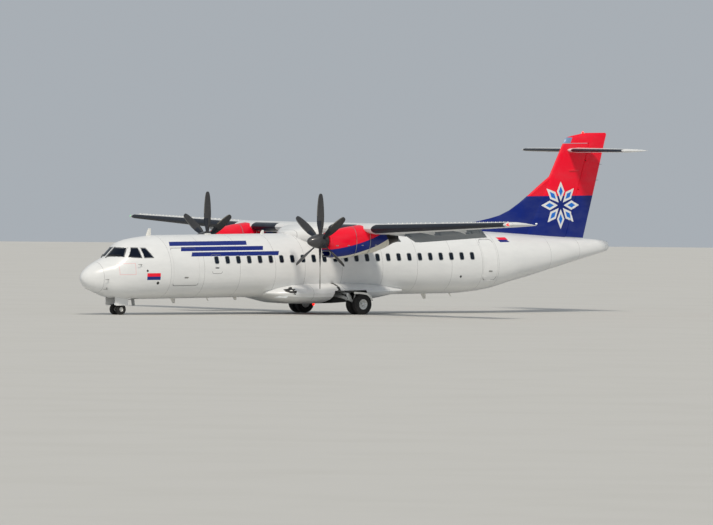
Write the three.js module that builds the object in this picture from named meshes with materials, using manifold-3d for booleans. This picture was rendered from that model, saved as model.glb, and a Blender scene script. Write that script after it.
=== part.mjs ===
// Twin-engine turboprop airliner, high wing and T-tail, standing on its wheels with its flaps down.
// Millimetres. +X points to the nose, +Y to the left wing tip and +Z up. The origin is on the ground.
// Lengthwise places are stations, counted aft from the tip of the nose, in the frame of the fuselage.
import * as THREE from "three";
import { mergeVertices } from "three/addons/utils/BufferGeometryUtils.js";
import Module from "manifold-3d";

const wasm = await Module();
wasm.setup();

// Whole aircraft
const LENGTH = 27166;
const SPAN = 27050;
const NOSE_X = LENGTH / 2;
const NOSE_DOWN = THREE.MathUtils.degToRad(0.7); // it stands a little nose low on its wheels
const SEAT = 0.3; // gap between pieces that rest on each other
const CLEAR = 6; // gap round a moving panel

// Fuselage
const HALF_WIDTH = 1432.5;
const CROWN_Z = 3400;
const WIDEST_Z = 1967.5;
const KEEL_Z = 770;
const FLOOR_Z = 1320;
const SKIN = 80; // thickness of wall and doors
const RING_POINTS = 32;
const KEEL_POWER = 2.4; // the lower half is flatter than an ellipse

// Wing
const WING_ROOT_CHORD = 2570;
const WING_TIP_CHORD = 1620;
const KINK_Y = 4900;
const WING_LE = 11130; // station of the leading edge inboard
const TIP_LE = 11700;
const WING_Z = 3620; // height of the leading edge inboard
const DIHEDRAL = THREE.MathUtils.degToRad(2.0);
const INCIDENCE = THREE.MathUtils.degToRad(2.0);
const ROOT_THICK = 0.18;
const TIP_THICK = 0.13;
const HINGE_SHARE = 0.745; // chordwise place of the nose centre of flaps and ailerons
const BOOT_SHARE = 0.1; // the front of the chord is a separate leading edge

// Engines and propellers
const ENGINE_Y = 4050;
const SHAFT_Z = 3134;
const PROP_RADIUS = 1965;
const BLADES = 6;
const SPINNER_TIP = 8530;
const HUB_FRONT = 8990;
const HUB_REAR = 9430;
const HUB_RADIUS = 300;
const NACELLE_FRONT = 9460;

// Landing gear: stations of the axles, heights above the ground
const MAIN_AXLE = 12583;
const NOSE_AXLE = 1813;
const MAIN_TRACK = 4100;
const MAIN_TWIN = 460; // between the middles of a pair of wheels
const NOSE_TWIN = 400;
const MAIN_TYRE = { radius: 432, width: 254, rim: 215 };
const NOSE_TYRE = { radius: 225, width: 180, rim: 92 };

// Tail
const TAIL_SPAN = 7310;
const TAIL_Z = 6755;
const ELEVATOR_HINGE = 26260;
const FIN_SPLIT_Z = 7050; // above this the rudder's balance horn is the whole fin

const X = (station) => NOSE_X - station;
const at = (station, y, z) => new THREE.Vector3(X(station), y, z);
const lerp = THREE.MathUtils.lerp;
const SIDES = [["left", 1], ["right", -1]];
const DEG = Math.PI / 180;

const PAINTS = {
  white: { color: 0xe9e7e2, roughness: 0.35, metalness: 0.1 },
  red: { color: 0xe0102a, roughness: 0.3, metalness: 0.1 },
  blue: { color: 0x0b2a6f, roughness: 0.3, metalness: 0.1 },
  grey: { color: 0x8d9297, roughness: 0.45, metalness: 0.2 },
  boot: { color: 0x15181c, roughness: 0.6, metalness: 0 },
  blade: { color: 0x2c2d30, roughness: 0.5, metalness: 0.1 },
  steel: { color: 0x8b8e90, roughness: 0.4, metalness: 0.9 },
  gear: { color: 0xb9bcbd, roughness: 0.45, metalness: 0.5 },
  rim: { color: 0xc9c9c4, roughness: 0.4, metalness: 0.6 },
  tyre: { color: 0x17181a, roughness: 0.9, metalness: 0 },
  glass: { color: 0x1c2a38, roughness: 0.08, metalness: 0 },
};

// A closed geometry as a solid that can be joined and cut.
function solidOf(geometry) {
  const bare = geometry.clone();
  bare.deleteAttribute("normal");
  bare.deleteAttribute("uv");
  const merged = mergeVertices(bare, 1e-3);
  return new wasm.Manifold(
    new wasm.Mesh({
      numProp: 3,
      vertProperties: new Float32Array(merged.attributes.position.array),
      triVerts: new Uint32Array(merged.index.array),
    }),
  );
}

// A solid as a geometry again.
function geometryOf(solid) {
  const mesh = solid.getMesh();
  const geometry = new THREE.BufferGeometry();
  const places = new Float32Array(mesh.numVert * 3);
  for (let i = 0; i < mesh.numVert; i++) {
    places.set(mesh.vertProperties.subarray(i * mesh.numProp, i * mesh.numProp + 3), i * 3);
  }
  geometry.setAttribute("position", new THREE.BufferAttribute(places, 3));
  geometry.setIndex(new THREE.BufferAttribute(mesh.triVerts, 1));
  geometry.computeVertexNormals();
  return geometry;
}

const joined = (parts) => parts.reduce((sum, part) => sum.add(part));
const cut = (solid, tools) => tools.reduce((left, tool) => left.subtract(tool), solid);
const moved = (solid, matrix) => solid.transform(matrix.elements);
const mirrored = (solid) => solid.mirror([0, 1, 0]);
// The left side's piece as it is, or its mirror image for the right side (side is 1 or -1).
const onSide = (solid, side) => (side > 0 ? solid : mirrored(solid));

// A closed solid through rings of points, one ring per section, all with the same number of points.
function loft(rings) {
  const count = rings[0].length;
  const points = rings.flat();
  const faces = [];
  for (let r = 0; r + 1 < rings.length; r++) {
    for (let i = 0; i < count; i++) {
      const a = r * count + i;
      const b = r * count + ((i + 1) % count);
      faces.push(a, b, a + count, b, b + count, a + count);
    }
  }
  const end = (ring, start, flip) => {
    const centre = ring.reduce((sum, p) => sum.add(p), new THREE.Vector3()).divideScalar(count);
    const hub = points.push(centre) - 1;
    for (let i = 0; i < count; i++) {
      const a = start + i;
      const b = start + ((i + 1) % count);
      if (flip) faces.push(hub, b, a);
      else faces.push(hub, a, b);
    }
  };
  end(rings[0], 0, true);
  end(rings.at(-1), (rings.length - 1) * count, false);
  const side = new THREE.Vector3();
  let volume = 0;
  for (let i = 0; i < faces.length; i += 3) {
    const [a, b, c] = [points[faces[i]], points[faces[i + 1]], points[faces[i + 2]]];
    volume += a.dot(side.crossVectors(b, c));
  }
  if (volume < 0) {
    for (let i = 0; i < faces.length; i += 3) {
      [faces[i + 1], faces[i + 2]] = [faces[i + 2], faces[i + 1]];
    }
  }
  const geometry = new THREE.BufferGeometry().setFromPoints(points);
  geometry.setIndex(faces);
  return solidOf(geometry);
}

// A box from its two opposite corners.
function block(low, high) {
  const size = high.clone().sub(low);
  const box = new THREE.BoxGeometry(Math.abs(size.x), Math.abs(size.y), Math.abs(size.z));
  const middle = low.clone().add(high).multiplyScalar(0.5);
  return solidOf(box.translate(middle.x, middle.y, middle.z));
}

// A round bar between two points. Its corners lie on the stated radius. On a bore the middles of its flats
// lie there, turned by half a facet so that the corners of a pin meet them.
function bar(from, to, radius, { facets = 8, endRadius = radius, bore = false } = {}) {
  const along = to.clone().sub(from);
  const half = Math.PI / facets;
  const grow = bore ? 1 / Math.cos(half) : 1;
  const radii = [endRadius * grow, radius * grow];
  const cylinder = new THREE.CylinderGeometry(...radii, along.length(), facets, 1, false, bore ? half : 0);
  cylinder.translate(0, along.length() / 2, 0);
  cylinder.applyQuaternion(
    new THREE.Quaternion().setFromUnitVectors(new THREE.Vector3(0, 1, 0), along.normalize()),
  );
  return solidOf(cylinder.translate(from.x, from.y, from.z));
}

// A body of revolution about a line along Y through a point. The profile's columns: radius, y.
function turned(profile, centre, facets) {
  const lathe = new THREE.LatheGeometry(
    profile.map(([radius, y]) => new THREE.Vector2(radius, y)),
    facets,
  );
  return solidOf(lathe.translate(centre.x, centre.y, centre.z));
}

// A flat plate: an outline in stations and heights, given a thickness along Y about its middle.
function plate(outline, y, thickness) {
  const rings = [-1, 1].map((end) =>
    outline.map(([station, z]) => at(station, y + (end * thickness) / 2, z)),
  );
  return loft(rings);
}

// The height in the tilted frame of the fuselage of a point at this height above level ground.
function placeOnGround(station, height) {
  return (height + X(station) * Math.sin(NOSE_DOWN)) / Math.cos(NOSE_DOWN);
}

const airframe = new THREE.Group();
airframe.rotation.y = NOSE_DOWN;

function addPiece(name, solid, paint) {
  const mesh = new THREE.Mesh(geometryOf(solid), new THREE.MeshStandardMaterial(PAINTS[paint]));
  mesh.name = name;
  airframe.add(mesh);
}

// Fuselage

// Columns: station, half width, crown height, height of the widest line, keel height
const BODY = [
  [0, 55, 1728, 1672, 1618],
  [60, 185, 1862, 1672, 1475],
  [190, 335, 2008, 1680, 1318],
  [430, 520, 2182, 1700, 1180],
  [700, 665, 2330, 1725, 1065],
  [1180, 870, 2535, 1780, 893],
  [1500, 985, 2825, 1830, 828],
  [1820, 1085, 3120, 1870, 797],
  [2200, 1190, 3238, 1905, 783],
  [2700, 1305, 3320, 1935, 775],
  [3200, 1395, 3372, 1955, 771],
  [3520, HALF_WIDTH, CROWN_Z, WIDEST_Z, KEEL_Z],
  [18900, HALF_WIDTH, CROWN_Z, WIDEST_Z, KEEL_Z],
  [19900, HALF_WIDTH, 3385, WIDEST_Z, 850],
  [20600, 1415, 3360, 2000, 950],
  [21500, 1350, 3304, 2070, 1180],
  [22600, 1215, 3225, 2180, 1415],
  [24100, 950, 3120, 2340, 1770],
  [25700, 590, 3010, 2520, 2135],
  [26800, 310, 2920, 2640, 2370],
  [27090, 215, 2880, 2668, 2440],
  [27178, 130, 2815, 2668, 2520],
];
const RADOME_END = 700;
const NOSE_END = 3520;
const FORWARD_END = 10300;
const CENTRE_END = 14300;
const AFT_END = 21500;
const TAIL_END = BODY.at(-1)[0];

// The body's half width, crown, widest line and keel at a station, optionally inside the skin.
function sectionAt(station, inset = 0) {
  const next = Math.max(1, BODY.findIndex((row) => row[0] >= station));
  const [before, after] = [BODY[next - 1], BODY[next]];
  const share = (station - before[0]) / (after[0] - before[0]);
  const [, width, crown, widest, keel] = before.map((value, i) => lerp(value, after[i], share));
  return { width: width - inset, crown: crown - inset, widest, keel: keel + inset };
}

function bodyRing(station, inset = 0) {
  const { width, crown, widest, keel } = sectionAt(station, inset);
  return Array.from({ length: RING_POINTS }, (_, i) => {
    const angle = (i / RING_POINTS) * 2 * Math.PI;
    const [s, c] = [Math.sin(angle), Math.cos(angle)];
    if (c >= 0) return at(station, width * s, widest + (crown - widest) * c);
    const power = 2 / KEEL_POWER;
    return at(
      station,
      width * Math.sign(s) * Math.abs(s) ** power,
      widest - (widest - keel) * Math.abs(c) ** power,
    );
  });
}

function bodyLoft(from, to, inset = 0) {
  const between = BODY.map((row) => row[0]).filter((station) => station > from && station < to);
  return loft([from, ...between, to].map((station) => bodyRing(station, inset)));
}

// How far out the faceted skin is at a station and a height.
function skinY(station, z) {
  const half = bodyRing(station).slice(0, RING_POINTS / 2 + 1);
  const below = half.findIndex((point) => point.z <= z);
  const [upper, lower] = [half[below - 1], half[below]];
  return lerp(upper.y, lower.y, (upper.z - z) / (upper.z - lower.z));
}

// Doors in the side of the body: station range, height range, and the side they are on
const DOORS = {
  cargo_door: { from: 3660, to: 4935, low: FLOOR_Z, high: 2885, side: 1, corner: 90 },
  passenger_door: { from: 19570, to: 20300, low: FLOOR_Z, high: 3050, side: 1, corner: 150 },
  service_door: { from: 19640, to: 20250, low: FLOOR_Z + 20, high: 2610, side: -1, corner: 110 },
};
const ROOMS = {
  cargo_bay: { from: 3620, to: 5150, high: 3120 },
  rear_vestibule: { from: 19400, to: 20480, high: 3120 },
};
const DOOR_REACH = [600, 1700]; // how far out from the middle the doorways are cut
const HINGE_TUBE = 12; // radius of the doors' hinges
const DOOR_LIP = 20; // the door's outer sheet, which runs out past the thick pan inside it
const PAN_INSET = 40; // the pan's edges stay back, so that they clear the doorway as the door swings

function roundedOutline({ from, to, low, high, corner }, grow = 0) {
  const [a, b, c, d] = [from - grow, to + grow, low - grow, high + grow];
  const corners = [
    [b - corner, d - corner, 0],
    [a + corner, d - corner, 90],
    [a + corner, c + corner, 180],
    [b - corner, c + corner, 270],
  ];
  return corners.flatMap(([station, z, start]) =>
    [0, 30, 60, 90].map((step) => [
      station + corner * Math.cos((start + step) * DEG),
      z + corner * Math.sin((start + step) * DEG),
    ]),
  );
}

function doorway(door, grow) {
  const [inner, outer] = DOOR_REACH;
  return plate(roundedOutline(door, grow), (door.side * (inner + outer)) / 2, outer - inner);
}

// The two ends of each door's hinge line, which lies on the skin along one edge of the door.
const HINGES = {
  cargo_door: [3760, 4835].map((station) => at(station, skinY(station, 2888), 2888)),
  passenger_door: [19700, 20170].map((station) => at(station, skinY(station, 1317), 1317)),
  service_door: [1850, 2090].map((z) => at(19637, -skinY(19637, WIDEST_Z), z)),
};

function makeDoor(name) {
  const door = DOORS[name];
  const layer = (depth) =>
    bodyLoft(door.from - 200, door.to + 200).subtract(bodyLoft(door.from - 210, door.to + 210, depth));
  const sheet = layer(DOOR_LIP).intersect(doorway(door, 0));
  const pan = layer(SKIN).intersect(doorway(door, -PAN_INSET));
  const [start, end] = HINGES[name];
  return joined([sheet, pan, bar(start, end, HINGE_TUBE)]);
}

function doorCuts(name) {
  const [start, end] = HINGES[name];
  const overrun = end.clone().sub(start).normalize().multiplyScalar(SEAT);
  return [
    doorway(DOORS[name], CLEAR),
    bar(start.clone().sub(overrun), end.clone().add(overrun), HINGE_TUBE + SEAT, { bore: true }),
  ];
}

function room({ from, to, high }) {
  const space = block(at(from, -1600, FLOOR_Z), at(to, 1600, high));
  return bodyLoft(from - 20, to + 20, SKIN).intersect(space);
}

// Cockpit glazing. The windscreens are drawn as seen from the front, in y and z. The side panes are drawn as
// seen from the side, in stations and heights.
const PANE_DEPTH = 45;
const PANE_THICK = 32;
const PANES = {
  windscreen: {
    front: true,
    outline: [[45, 2560], [790, 2535], [625, 2900], [45, 2925]],
  },
  side_window: {
    front: false,
    outline: [[1735, 2525], [2290, 2485], [2265, 2900], [2015, 2915]],
  },
  quarter_window: {
    front: false,
    outline: [[2395, 2490], [2800, 2495], [2575, 2890], [2370, 2900]],
  },
};

function paneOutline(outline, grow) {
  const middle = [0, 1].map((i) => outline.reduce((sum, p) => sum + p[i], 0) / outline.length);
  return outline.map((p) => p.map((v, i) => v + grow * Math.sign(v - middle[i])));
}

function panePrism({ front, outline }, grow) {
  const points = paneOutline(outline, grow);
  if (!front) return plate(points, 1100, 1400);
  return loft([900, 2150].map((station) => points.map(([y, z]) => at(station, y, z))));
}

function makePane(pane) {
  const outside = bodyLoft(RADOME_END, NOSE_END, PANE_DEPTH - SEAT - PANE_THICK);
  const inside = bodyLoft(RADOME_END - 10, NOSE_END, PANE_DEPTH - SEAT);
  return outside.subtract(inside).intersect(panePrism(pane, 0));
}

function panePockets() {
  const inside = bodyLoft(RADOME_END - 10, NOSE_END, PANE_DEPTH);
  return Object.values(PANES).flatMap((pane) => {
    const pocket = panePrism(pane, SEAT).subtract(inside);
    return [pocket, mirrored(pocket)];
  });
}

addPiece("radome", bodyLoft(0, RADOME_END - SEAT), "white");
const noseBody = cut(bodyLoft(RADOME_END, NOSE_END - SEAT), panePockets());
for (const [name, pane] of Object.entries(PANES)) {
  for (const [label, side] of SIDES) addPiece(`${name}_${label}`, onSide(makePane(pane), side), "glass");
}
addPiece(
  "forward_fuselage",
  cut(bodyLoft(NOSE_END, FORWARD_END - SEAT), [room(ROOMS.cargo_bay), ...doorCuts("cargo_door")]),
  "white",
);
const centreBody = bodyLoft(FORWARD_END, CENTRE_END - SEAT);
addPiece(
  "aft_fuselage",
  cut(bodyLoft(CENTRE_END, AFT_END - SEAT), [
    room(ROOMS.rear_vestibule),
    ...doorCuts("passenger_door"),
    ...doorCuts("service_door"),
  ]),
  "white",
);
for (const name of Object.keys(DOORS)) addPiece(name, makeDoor(name), "white");
const wholeBody = bodyLoft(RADOME_END, TAIL_END);
const wholeBodySeat = bodyLoft(RADOME_END, TAIL_END, -SEAT);

// Wing and tail surfaces

// Half thickness at a share of the chord, as a share of the chord, for a section of full thickness 1.
function halfThickness(share) {
  const [a, b, c, d, e] = [0.2969, -0.126, -0.3516, 0.2843, -0.1036];
  return 5 * (a * Math.sqrt(share) + share * (b + share * (c + share * (d + share * e))));
}

const BLUNT = 0.0016; // half thickness kept at the trailing edge, as a share of the chord
const EDGE_HALF = 2; // and its least value on a moving surface
const EDGE_CLEAR = 2; // more room behind the fixed part than round the moving one
const FRONT_STEPS = [0, 0.012, 0.045, BOOT_SHARE];
const MIDDLE_STEPS = [BOOT_SHARE, 0.22, 0.4, 0.6];

// A surface's outline at one span station: where its leading edge is, its chord, thickness and twist.
// upright surfaces stand on edge, so their thickness runs along Y.
class Section {
  constructor({ station, y, z, chord, thick, camber = 0, incidence = 0, upright = false }) {
    Object.assign(this, { station, y, z, chord, thick, camber, incidence, upright });
  }

  // A point at a share of the chord, offset from the middle line by a distance in millimetres.
  point(share, offset) {
    const aft = share * this.chord;
    if (this.upright) return at(this.station + aft, this.y + offset, this.z);
    const rise = this.camber * this.chord * 4 * share * (1 - share);
    return at(
      this.station + aft * Math.cos(this.incidence) + offset * Math.sin(this.incidence),
      this.y,
      this.z + rise + offset * Math.cos(this.incidence) - aft * Math.sin(this.incidence),
    );
  }

  half(share) {
    return this.chord * Math.max(BLUNT, this.thick * halfThickness(share));
  }

  // The ring of a slice of the section between the first and last of these chord shares.
  slice(steps) {
    const upper = steps.map((share) => this.point(share, this.half(share)));
    const lower = steps.map((share) => this.point(share, -this.half(share)));
    if (steps[0] === 0) lower.shift();
    return [...upper, ...lower.reverse()];
  }

  // The ring of a moving surface, with a round nose about its hinge line.
  flapRing(hinge) {
    const radius = this.half(hinge);
    const tail = [hinge, (hinge + 1) / 2, 1];
    const edge = (share) => Math.max(EDGE_HALF, this.half(share));
    const upper = tail.map((share) => this.point(share, edge(share)));
    const lower = tail.map((share) => this.point(share, -edge(share)));
    const nose = [125, 160, 200, 235].map((angle) =>
      this.point(
        hinge + (radius * Math.sin((angle - 90) * DEG) * -1) / this.chord,
        radius * Math.cos((angle - 90) * DEG),
      ),
    );
    return [...upper, ...lower.reverse(), ...nose.reverse()];
  }

  // Where the fixed part ends ahead of a moving surface.
  rear(hinge) {
    return hinge - (this.half(hinge) + CLEAR + EDGE_CLEAR) / this.chord;
  }
}

// Wing section at a distance from the middle of the aircraft.
function wingSection(y) {
  const out = Math.max(0, y - KINK_Y) / (SPAN / 2 - KINK_Y);
  return new Section({
    station: lerp(WING_LE, TIP_LE, out),
    y,
    z: WING_Z + Math.max(0, y - KINK_Y) * Math.tan(DIHEDRAL),
    chord: lerp(WING_ROOT_CHORD, WING_TIP_CHORD, out),
    thick: lerp(ROOT_THICK, TIP_THICK, out),
    camber: 0.012,
    incidence: INCIDENCE,
  });
}

const TIP_Y = 13260; // where the white tip cap starts
const RIB_Y = [9790, 9850]; // the rib between flap and aileron
const FLAP_INNER = { from: 1560, to: 3560, hinges: [1960, 3260] };
const FLAP_OUTER = { from: 4540, to: 9750, hinges: [4840, 6950, 9150] };
const AILERON = { from: 9856, to: 13250, hinges: [10700, 12400] };
const AILERON_LUG_REACH = 150;
const WING_SPLIT = KINK_Y - 2 * SEAT;

function wingSlice(ys, stepsAt) {
  return loft(ys.map((y) => wingSection(y).slice(stepsAt(wingSection(y)))));
}

const boxSteps = (section) => [...MIDDLE_STEPS, section.rear(HINGE_SHARE)];
const fullSteps = () => [...FRONT_STEPS.slice(0, -1), ...MIDDLE_STEPS, 0.8, 1];

// Fixed arms below the wing that carry the flaps at a pivot under the surface
const FLAP_PIVOT = { share: 0.7, below: 250 };
const FLAP_DOWN = 35 * DEG;
const ARM_WIDTH = 44;
const LUG_WIDTH = 30;
const BOSS_RADIUS = 38;
const FLAP_PIN = 13;

function flapPivot(y) {
  const section = wingSection(y);
  return section.point(FLAP_PIVOT.share, -FLAP_PIVOT.below);
}

// The line that a flap turns about, through its first and last pivots.
function flapAxis({ hinges }) {
  const [first, last] = [flapPivot(hinges[0]), flapPivot(hinges.at(-1))];
  return { origin: first, direction: last.clone().sub(first).normalize() };
}

const onAxis = ({ origin, direction }, y) =>
  origin.clone().addScaledVector(direction, (y - origin.y) / direction.y);

function turnAbout({ origin, direction }, angle) {
  return new THREE.Matrix4()
    .makeTranslation(origin.x, origin.y, origin.z)
    .multiply(new THREE.Matrix4().makeRotationAxis(direction, angle))
    .multiply(new THREE.Matrix4().makeTranslation(-origin.x, -origin.y, -origin.z));
}

// A plate in a fore-and-aft plane through these points, given a thickness along Y.
function finPlate(points, y, thickness) {
  const rings = [-0.5, 0.5].map((end) =>
    points.map((p) => new THREE.Vector3(p.x, y + end * thickness, p.z)),
  );
  return loft(rings);
}

function flapArm(flap, y) {
  const pivot = onAxis(flapAxis(flap), y);
  const section = wingSection(y);
  const rear = section.rear(HINGE_SHARE);
  const boss = [-100, -60, -20, 20, 60].map(
    (angle) =>
      new THREE.Vector3(
        pivot.x - BOSS_RADIUS * Math.cos(angle * DEG),
        y,
        pivot.z + BOSS_RADIUS * Math.sin(angle * DEG),
      ),
  );
  const low = (share, drop) => section.point(share, -section.half(share) - drop);
  const outline = [section.point(0.4, -section.half(0.4) + 25), low(0.4, 10), low(0.56, 75), ...boss];
  outline.push(section.point(rear - 0.006, -section.half(rear) + 25));
  const arm = finPlate(outline, y, ARM_WIDTH);
  const axis = flapAxis(flap);
  const [inner, outer] = [y - ARM_WIDTH, y + ARM_WIDTH].map((place) => onAxis(axis, place));
  return arm.subtract(bar(inner, outer, FLAP_PIN + SEAT, { bore: true }));
}

function flapLug(flap, y) {
  const axis = flapAxis(flap);
  const lugY = y + ARM_WIDTH / 2 + CLEAR + LUG_WIDTH / 2;
  const pivot = onAxis(axis, lugY);
  const section = wingSection(lugY);
  const boss = [180, 225, 270, 315, 360].map(
    (angle) =>
      new THREE.Vector3(
        pivot.x + BOSS_RADIUS * Math.cos(angle * DEG),
        lugY,
        pivot.z + BOSS_RADIUS * Math.sin(angle * DEG),
      ),
  );
  const top = [0.745, 0.85].map((share) => section.point(share, -section.half(share) + 20));
  const lug = finPlate([...top, ...boss], lugY, LUG_WIDTH);
  const pin = bar(onAxis(axis, y - ARM_WIDTH / 2), onAxis(axis, lugY), FLAP_PIN);
  return lug.add(pin);
}

function makeFlap(flap) {
  const ys = [flap.from, KINK_Y, flap.to].filter((y) => y >= flap.from && y <= flap.to);
  const rings = ys.map((y) => wingSection(y).flapRing(HINGE_SHARE));
  const raised = joined([loft(rings), ...flap.hinges.map((y) => flapLug(flap, y))]);
  return moved(raised, turnAbout(flapAxis(flap), -FLAP_DOWN));
}

const LUG = { width: 26, radius: 24, pin: 10, pinEnd: 8 };

// A hinge inside a gap: a lug on the fixed part, a notch in the moving one and a pin across the notch.
// aft points from the hinge line to the moving surface, and axis runs along the hinge line. The lug is rooted
// this reach ahead of the hinge line.
function innerHinge(place, axis, aft, reach) {
  const up = new THREE.Vector3().crossVectors(aft, axis).normalize();
  const across = (offset) => place.clone().addScaledVector(axis, offset);
  const half = LUG.width / 2;
  const slab = (halfWidth, front, rear, height) => {
    const corner = (a, u, w) =>
      place.clone().addScaledVector(aft, a).addScaledVector(up, u).addScaledVector(axis, w);
    const ring = (w) => [
      corner(front, height, w),
      corner(rear, height, w),
      corner(rear, -height, w),
      corner(front, -height, w),
    ];
    return loft([ring(-halfWidth), ring(halfWidth)]);
  };
  const bore = bar(across(-2 * half), across(2 * half), LUG.pin + SEAT, { bore: true });
  const lug = joined([
    slab(half, -reach, 0, LUG.radius * 0.8),
    bar(across(-half), across(half), LUG.radius),
  ]).subtract(bore);
  const notch = slab(half + CLEAR, -300, LUG.radius + CLEAR, 200);
  const pinHalf = half + CLEAR + LUG.pinEnd;
  const pin = bar(across(-pinHalf), across(pinHalf), LUG.pin);
  return { lug, notch, pin };
}

// Joins lugs to the fixed part, and cuts notches into the moving one and joins its pins.
function hang(fixed, moving, hinges) {
  return [
    joined([fixed, ...hinges.map((hinge) => hinge.lug)]),
    joined([cut(moving, hinges.map((hinge) => hinge.notch)), ...hinges.map((hinge) => hinge.pin)]),
  ];
}

const AFT = new THREE.Vector3(-1, 0, 0);

// The direction across a hinge line that points aft.
const aftOf = (axis) => AFT.clone().addScaledVector(axis, -AFT.dot(axis)).normalize();

function hingeLine(first, last, shares, reach) {
  const axis = last.clone().sub(first).normalize();
  const aft = aftOf(axis);
  return shares.map((share) => innerHinge(first.clone().lerp(last, share), axis, aft, reach));
}

function makeAileron(wing) {
  const [root, tip] = [AILERON.from, AILERON.to].map(wingSection);
  const surface = loft([root, tip].map((section) => section.flapRing(HINGE_SHARE)));
  const [first, last] = [root, tip].map((section) => section.point(HINGE_SHARE, 0));
  const shares = AILERON.hinges.map((y) => (y - AILERON.from) / (AILERON.to - AILERON.from));
  return hang(wing, surface, hingeLine(first, last, shares, AILERON_LUG_REACH));
}

// Columns: distance from the middle, share of the chord kept, share of the thickness kept
const TIP_CAP = [
  [TIP_Y, 1, 1],
  [13400, 0.975, 0.86],
  [13490, 0.88, 0.5],
  [SPAN / 2, 0.7, 0.12],
];

function tipCap() {
  return loft(
    TIP_CAP.map(([y, chord, thick]) => {
      const section = wingSection(y);
      const lost = section.chord * (1 - chord);
      section.station += 0.55 * lost;
      section.chord *= chord;
      section.thick *= thick / chord;
      return section.slice(fullSteps());
    }),
  );
}

function makeOuterWing() {
  const box = wingSlice([KINK_Y, TIP_Y + 2], boxSteps);
  const rib = wingSlice(RIB_Y, () => [0.6, 0.7, 0.8]);
  const arms = FLAP_OUTER.hinges.slice(1).map((y) => flapArm(FLAP_OUTER, y));
  return joined([box, rib, tipCap(), ...arms]);
}

function makeLeadingEdge() {
  const steps = (section) => [...FRONT_STEPS.slice(0, -1), BOOT_SHARE - SEAT / section.chord];
  return wingSlice([KINK_Y, TIP_Y - SEAT], steps);
}

const MIDDLE_WING_Y = 1500; // over the body and behind the nacelles the wing keeps its trailing edge
const NACELLE_BAY = [3620, 4480];

function makeCentreWing() {
  const front = (section) => [...FRONT_STEPS.slice(0, -1), ...boxSteps(section)];
  const pieces = [wingSlice([-WING_SPLIT, WING_SPLIT], front)];
  pieces.push(wingSlice([-MIDDLE_WING_Y, MIDDLE_WING_Y], () => [0.6, 0.8, 1]));
  const bay = wingSlice(NACELLE_BAY, () => [0.6, 0.8, 1]);
  const arms = [
    ...FLAP_INNER.hinges.map((y) => flapArm(FLAP_INNER, y)),
    flapArm(FLAP_OUTER, FLAP_OUTER.hinges[0]),
  ];
  for (const part of [bay, ...arms]) pieces.push(part, mirrored(part));
  return joined(pieces);
}

const [outerWing, aileron] = makeAileron(makeOuterWing());
const centreWing = makeCentreWing();
addPiece("wing_centre", centreWing, "grey");
for (const [label, side] of SIDES) {
  addPiece(`outer_wing_${label}`, onSide(outerWing, side), "white");
  addPiece(`leading_edge_${label}`, onSide(makeLeadingEdge(), side), "boot");
  addPiece(`flap_inner_${label}`, onSide(makeFlap(FLAP_INNER), side), "grey");
  addPiece(`flap_outer_${label}`, onSide(makeFlap(FLAP_OUTER), side), "grey");
  addPiece(`aileron_${label}`, onSide(aileron, side), "white");
}

// Tail

// Fin and rudder. Columns: height, station of the leading edge, of the hinge line and of the trailing edge
const FIN = [
  [2900, 22610, 24918, 25860],
  [5670, 24090, 25800, 26655],
  [7265, 24930, 26306, 27100],
];
// The rudder's balance horn. Columns: height, leading edge, trailing edge, share of the thickness
const HORN = [
  [FIN_SPLIT_Z + 10, 24824, 27043, 1],
  [7250, 24938, 27098, 1],
  [7325, 25100, 27125, 0.9],
  [7392, 25420, 27140, 0.7],
  [7455, 25800, 27140, 0.42],
  [7488, 26080, 27080, 0.15],
];
const FIN_THICK = 0.1;
const FIXED_STEPS = [...FRONT_STEPS.slice(0, -1), 0.1, 0.3]; // chord shares of the fixed tail surfaces
const HORN_STEPS = [0, 0.02, 0.1, 0.3, 0.6, 0.8, 1];
const RUDDER_HINGES = [0.2, 0.5, 0.78];
const TAIL_LUG_REACH = 170;
const RUDDER_GAP = 22; // between the rudder's lower end and the tail cone

function finSection([z, leading, , trailing]) {
  const chord = trailing - leading;
  return new Section({ station: leading, y: 0, z, chord, thick: FIN_THICK, upright: true });
}

const hingeShare = ([, leading, hinge, trailing]) => (hinge - leading) / (trailing - leading);

function makeFinAndRudder() {
  const finRings = FIN.map((row) => {
    const section = finSection(row);
    return section.slice([...FIXED_STEPS, section.rear(hingeShare(row))]);
  });
  const above = block(at(22000, -500, FIN_SPLIT_Z - 10), at(28000, 500, 8000));
  const fin = loft(finRings).subtract(above);
  const rudderRings = FIN.map((row) => finSection(row).flapRing(hingeShare(row)));
  const horn = HORN.map(([z, leading, trailing, thick]) => {
    const section = finSection([z, leading, 0, trailing]);
    section.thick *= thick;
    return section.slice(HORN_STEPS);
  });
  const rudder = loft(rudderRings).subtract(bodyLoft(24000, TAIL_END, -RUDDER_GAP)).add(loft(horn));
  const [first, last] = [FIN[0], FIN.at(-1)].map(([z, , hinge]) => at(hinge, 0, z));
  return hang(fin, rudder, hingeLine(first, last, RUDDER_HINGES, TAIL_LUG_REACH));
}

// Dorsal fin. Columns: station along the top edge, its height
const DORSAL = [
  [18000, 3330],
  [19200, 3580],
  [20140, 3760],
  [20930, 3900],
  [21450, 4020],
  [21980, 4230],
  [22510, 4540],
  [23030, 4895],
  [23560, 5280],
  [24090, 5640],
];
const DORSAL_THICK = 150;
const DORSAL_FOOT = 3100;

function makeDorsal() {
  const rings = DORSAL.map(([station, top], i) => {
    const half = (DORSAL_THICK / 2) * Math.min(1, 0.25 + i / 5);
    const edge = Math.min(60, (top - DORSAL_FOOT - 100) / 3);
    return [
      at(station, half * 0.3, top),
      at(station, half * 0.8, top - edge),
      at(station, half, DORSAL_FOOT),
      at(station, -half, DORSAL_FOOT),
      at(station, -half * 0.8, top - edge),
      at(station, -half * 0.3, top),
    ];
  });
  return loft(rings);
}

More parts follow.
